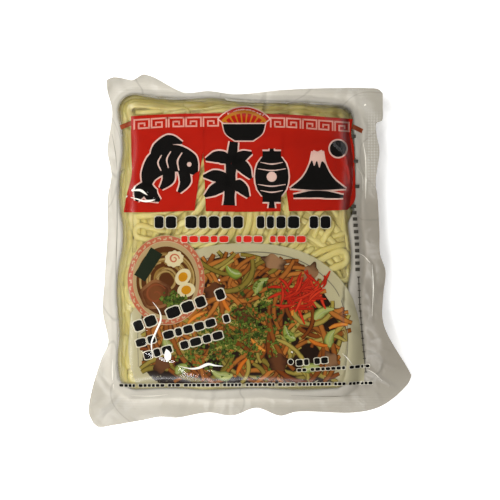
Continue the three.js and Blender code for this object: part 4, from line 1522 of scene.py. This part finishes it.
def upright_mark(middle, size, across):
    (x, y), (wide, tall) = middle, size
    return stroke([(x, y - tall / 2), (x, y + tall / 2)], (wide, wide), across), BAR_LAYER, 3


def bar_shapes():
    draw = random.Random(17)
    shapes = []
    for start, end, height, groups, ink, edge in BAR_ROWS:
        widths = np.array([BAR_END, 1, 1, 1, 1, BAR_END]) * height
        cut = min(height * CORNER_CUT[0], CORNER_CUT[1])
        for low, high in bar_row(start, end, groups, draw):
            way = (high - low) / np.linalg.norm(high - low)
            inner = [low + way * cut, high - way * cut]
            wider = [low - way * edge / 2, *inner, high + way * edge / 2]
            shapes.append((stroke(wider, widths + edge, 2, 0.7), BAR_EDGE_LAYER, 2))
            shapes.append((stroke([low, *inner, high], widths, 2, 0.7), BAR_LAYER, ink))
    middle, radius = DOT
    return [*shapes, spot(middle, radius * 1.3, BAR_EDGE_LAYER, 2, 8),
            spot(middle, radius, BAR_LAYER, 0, 8),
            *(upright_mark(at, SIDE_MARK, 2) for at in [*SIDE_MARKS, *smooth_line(SIDE_ROW, 11)]),
            (stroke(SIDE_RULE, (RULE_WIDE, RULE_WIDE), 1), BAR_LAYER, 3),
            *(upright_mark(at, TICK, 1) for at in smooth_line(SIDE_RULE, 15))]


white_ink = ink_material("white_gravure_ink", "ddd7c6", "d0cab8")
grey_ink = ink_material("grey_gravure_ink", "4a463d", "565148")
bright_red_ink = ink_material("bright_red_gravure_ink", "cc2c1c", "c02418")
laid_piece("print_bars", bar_shapes(), [black_ink, bright_red_ink, white_ink, grey_ink])

# The painted highlights and shade along the film's folds
# Where the stiff film is folded sharply, the light caught along the fold is painted on as an
# opaque white strip, and the shade along a fold in the margin as a thin grey one. Each is a strip
# on the film, drawn out to a point at both ends.

FOLD_LIFT = 0.06
# Painted highlights: white strips and dots where the folds would catch the light.
PAINTED_HIGHLIGHT_FOLDS = [
    ([(-48.3, -25.8), (-45.0, -30.5), (-44.3, -34.2), (-47.2, -41.6), (-48.9, -46),
      (-48.3, -53.4)], (0.1, 0.6, 1.0, 0.9, 0.7, 0.1)),
    ([(-41.6, -49.2), (-40.9, -52.2), (-41.2, -55.6)], (0.3, 2.6, 3.6, 3.2, 0.4)),
    ([(-36, -57.5), (-29.2, -59.0), (-25.6, -58.6), (-20.6, -56.7), (-17.4, -57.4),
      (-13.5, -57.7)], (0.1, 0.4, 1.0, 1.5, 0.9, 0.2)),
    ([(-59.3, 26.1), (-56.6, 25.5), (-53.3, 24.4), (-50.7, 24.3), (-47.2, 25.0)],
     (0.2, 0.6, 1.0, 1.1, 0.3)),
    ([(-58.8, 29.4), (-54.6, 29.7), (-50.9, 27.2)], (0.3, 1.1, 1.3, 0.1)),
    ([(-58.7, 29.3), (-57.6, 30.4), (-57.0, 31.9)], (1.2, 1.0, 0.2)),
    ([(-61.7, 26.1), (-61.0, 27.0)], (0.3, 0.5)),
    ([(-68.7, -54.7), (-68.8, -62), (-68.1, -70)], (0.1, 0.6, 0.1)),
    ([(-59.2, -72.7), (-50, -73.0), (-41, -72.2)], (0.1, 0.5, 0.1)),
    ([(45.8, -51.3), (48.2, -53.6), (51.0, -57.1)], (0.1, 0.4, 0.1)),
    ([(58.6, -59.8), (61.8, -61.4), (66.0, -65.2)], (0.1, 0.4, 0.1)),
    ([(52.1, -1.4), (56.1, -2.5), (60.1, -6.5)], (0.1, 0.4, 0.1)),
    ([(61.0, -7), (61.6, -18), (61.0, -33)], (0.1, 0.35, 0.1)),
    ([(57.1, 72.2), (57.8, 72.7)], (0.5, 0.7)),
    ([(56.4, 54.2), (57.6, 47.2), (57.9, 37.2), (57.8, 25.7)], (0.1, 0.45, 0.4, 0.1)),
    ([(53.7, 40.8), (56.1, 36.8), (56.4, 29.7)], (0.1, 0.4, 0.1)),
    ([(20.4, -50.5), (21.2, -50.9)], (0.4, 0.6)),
    ([(-15.6, -14.6), (-15.0, -15.2)], (0.5, 0.7))]
# Painted shade: thin grey strips along folds in the margin.
PAINTED_SHADE_FOLDS = [
    ([(-64.6, 38), (-66.0, 30), (-66.4, 10), (-66.9, -12), (-66.2, -26)],
     (0.1, 0.35, 0.4, 0.35, 0.1)),
    ([(-69.0, 58), (-67.2, 48), (-66.4, 40)], (0.1, 0.35, 0.1)),
    ([(20.5, -72.6), (40, -73.1), (60, -72.4)], (0.1, 0.4, 0.1)),
    ([(-12, 75.6), (14, 74.4), (40, 73.4)], (0.1, 0.3, 0.1))]


def fold_height(x, y, lift):
    """Height on the front film, over its pleats and buckles."""
    return front_sheet(x, y) + pleat_height(x, y) + crease_height(x, y) + lift


def fold_material(name, colour):
    # Painted highlight or shade: an opaque white strip stands in for the light that a sharp fold
    # of the clear film catches, and a grey one for the shade along a fold.
    material, tree = new_material(name)
    surface = add_node(tree, "BsdfPrincipled", {
        "Base Color": linear(colour), "Roughness": 0.35, "IOR": 1.46})
    add_node(tree, "OutputMaterial", {"Surface": surface})
    return material


laid_piece("film_painted_highlights_and_shade", [(stroke(*fold), FOLD_LIFT, shade) for shade, folds in
                                enumerate((PAINTED_HIGHLIGHT_FOLDS, PAINTED_SHADE_FOLDS)) for fold in folds],
           [fold_material("painted_highlight_film", "f7f2e4"),
            fold_material("fold_in_shadow", "8b8577")], fold_height)

# The studio
# A plain pale table under the pouch, a soft window at the upper left, a long soft lamp at the
# lower left, a weak light from the right, and a camera that looks straight down on the print.

FIELD_WIDTH = 0.250
CAMERA_HEIGHT = 1.5
CAMERA_SENSOR = 36.0
TABLE_SIZE = 3.0
TABLE_DROP = 0.0004
GLOW = 0.7
GLOW_UNDER_POUCH = 0.2
SHADE_HALF = (0.058, 0.068, 0.0)
SHADE_FADE = 0.022
# Each light's place, size and power.
LIGHTS = {"window_light": ((-0.22, 0.235, 0.42), (0.2, 0.22), 1.26),
          "lamp_light": ((-0.124, -0.1645, 0.37), (0.34, 0.1), 1.3),
          "fill_light": ((0.36, 0.14, 0.6), (0.5, 0.5), 1.0)}
ROOM_STRENGTH = 0.06


def table_material():
    # Matt white laminate that glows a little, so that it stays pale away from the light. The
    # glow fades out under the pouch, where no light reaches the real table.
    material, tree = new_material("matt_white_table")
    place = add_node(tree, "TexCoord").outputs["Object"]
    mottle = add_node(tree, "TexNoise", {"Vector": place, "Scale": 30.0, "Detail": 2.0})
    tint = add_node(tree, "Mix", {
        "Factor": mottle, "A": linear("f4f4f3"), "B": linear("fafafa")}, data_type="RGBA")
    aside = add_node(tree, "VectorMath", {0: place}, operation="ABSOLUTE")
    beyond = add_node(tree, "VectorMath", {0: aside, 1: SHADE_HALF}, operation="SUBTRACT")
    outward = add_node(tree, "VectorMath", {0: beyond, 1: (0.0, 0.0, 0.0)}, operation="MAXIMUM")
    away = add_node(tree, "VectorMath", {0: outward}, operation="LENGTH")
    glow = add_node(tree, "MapRange", {
        "Value": away, "From Max": SHADE_FADE, "To Min": GLOW_UNDER_POUCH, "To Max": GLOW})
    surface = add_node(tree, "BsdfPrincipled", {
        "Base Color": tint, "Roughness": 0.9, "Emission Color": linear("ffffff"),
        "Emission Strength": glow})
    add_node(tree, "OutputMaterial", {"Surface": surface})
    return material


bpy.ops.object.select_all(action="DESELECT")
bpy.ops.mesh.primitive_plane_add(size=TABLE_SIZE, location=(0, 0, -TABLE_DROP))
table = bpy.context.object
table.name = "table"
table.data.materials.append(table_material())

for name, (place, size, power) in LIGHTS.items():
    bpy.ops.object.light_add(type="AREA", location=place)
    light = bpy.context.object
    light.name = name
    light.data.shape = "RECTANGLE"
    light.data.size, light.data.size_y = size
    light.data.energy = power
    # It points at the middle of the pouch.
    light.rotation_euler = Vector(place).to_track_quat("Z", "Y").to_euler()
world = bpy.data.worlds.new("pale_room")
world.use_nodes = True
world.node_tree.nodes["Background"].inputs["Color"].default_value = linear("f4f4f2")
world.node_tree.nodes["Background"].inputs["Strength"].default_value = ROOM_STRENGTH
bpy.context.scene.world = world
bpy.context.scene.view_settings.view_transform = "Standard"

camera_data = bpy.data.cameras.new("camera")
camera_data.sensor_width = CAMERA_SENSOR
camera_data.lens = CAMERA_SENSOR * (CAMERA_HEIGHT - MARGIN_HEIGHT * MM) / FIELD_WIDTH
camera_data.clip_end = 20.0
camera = bpy.data.objects.new("camera", camera_data)
camera.location = (FRAME_SHIFT[0], FRAME_SHIFT[1], CAMERA_HEIGHT)
bpy.context.collection.objects.link(camera)
bpy.context.scene.camera = camera
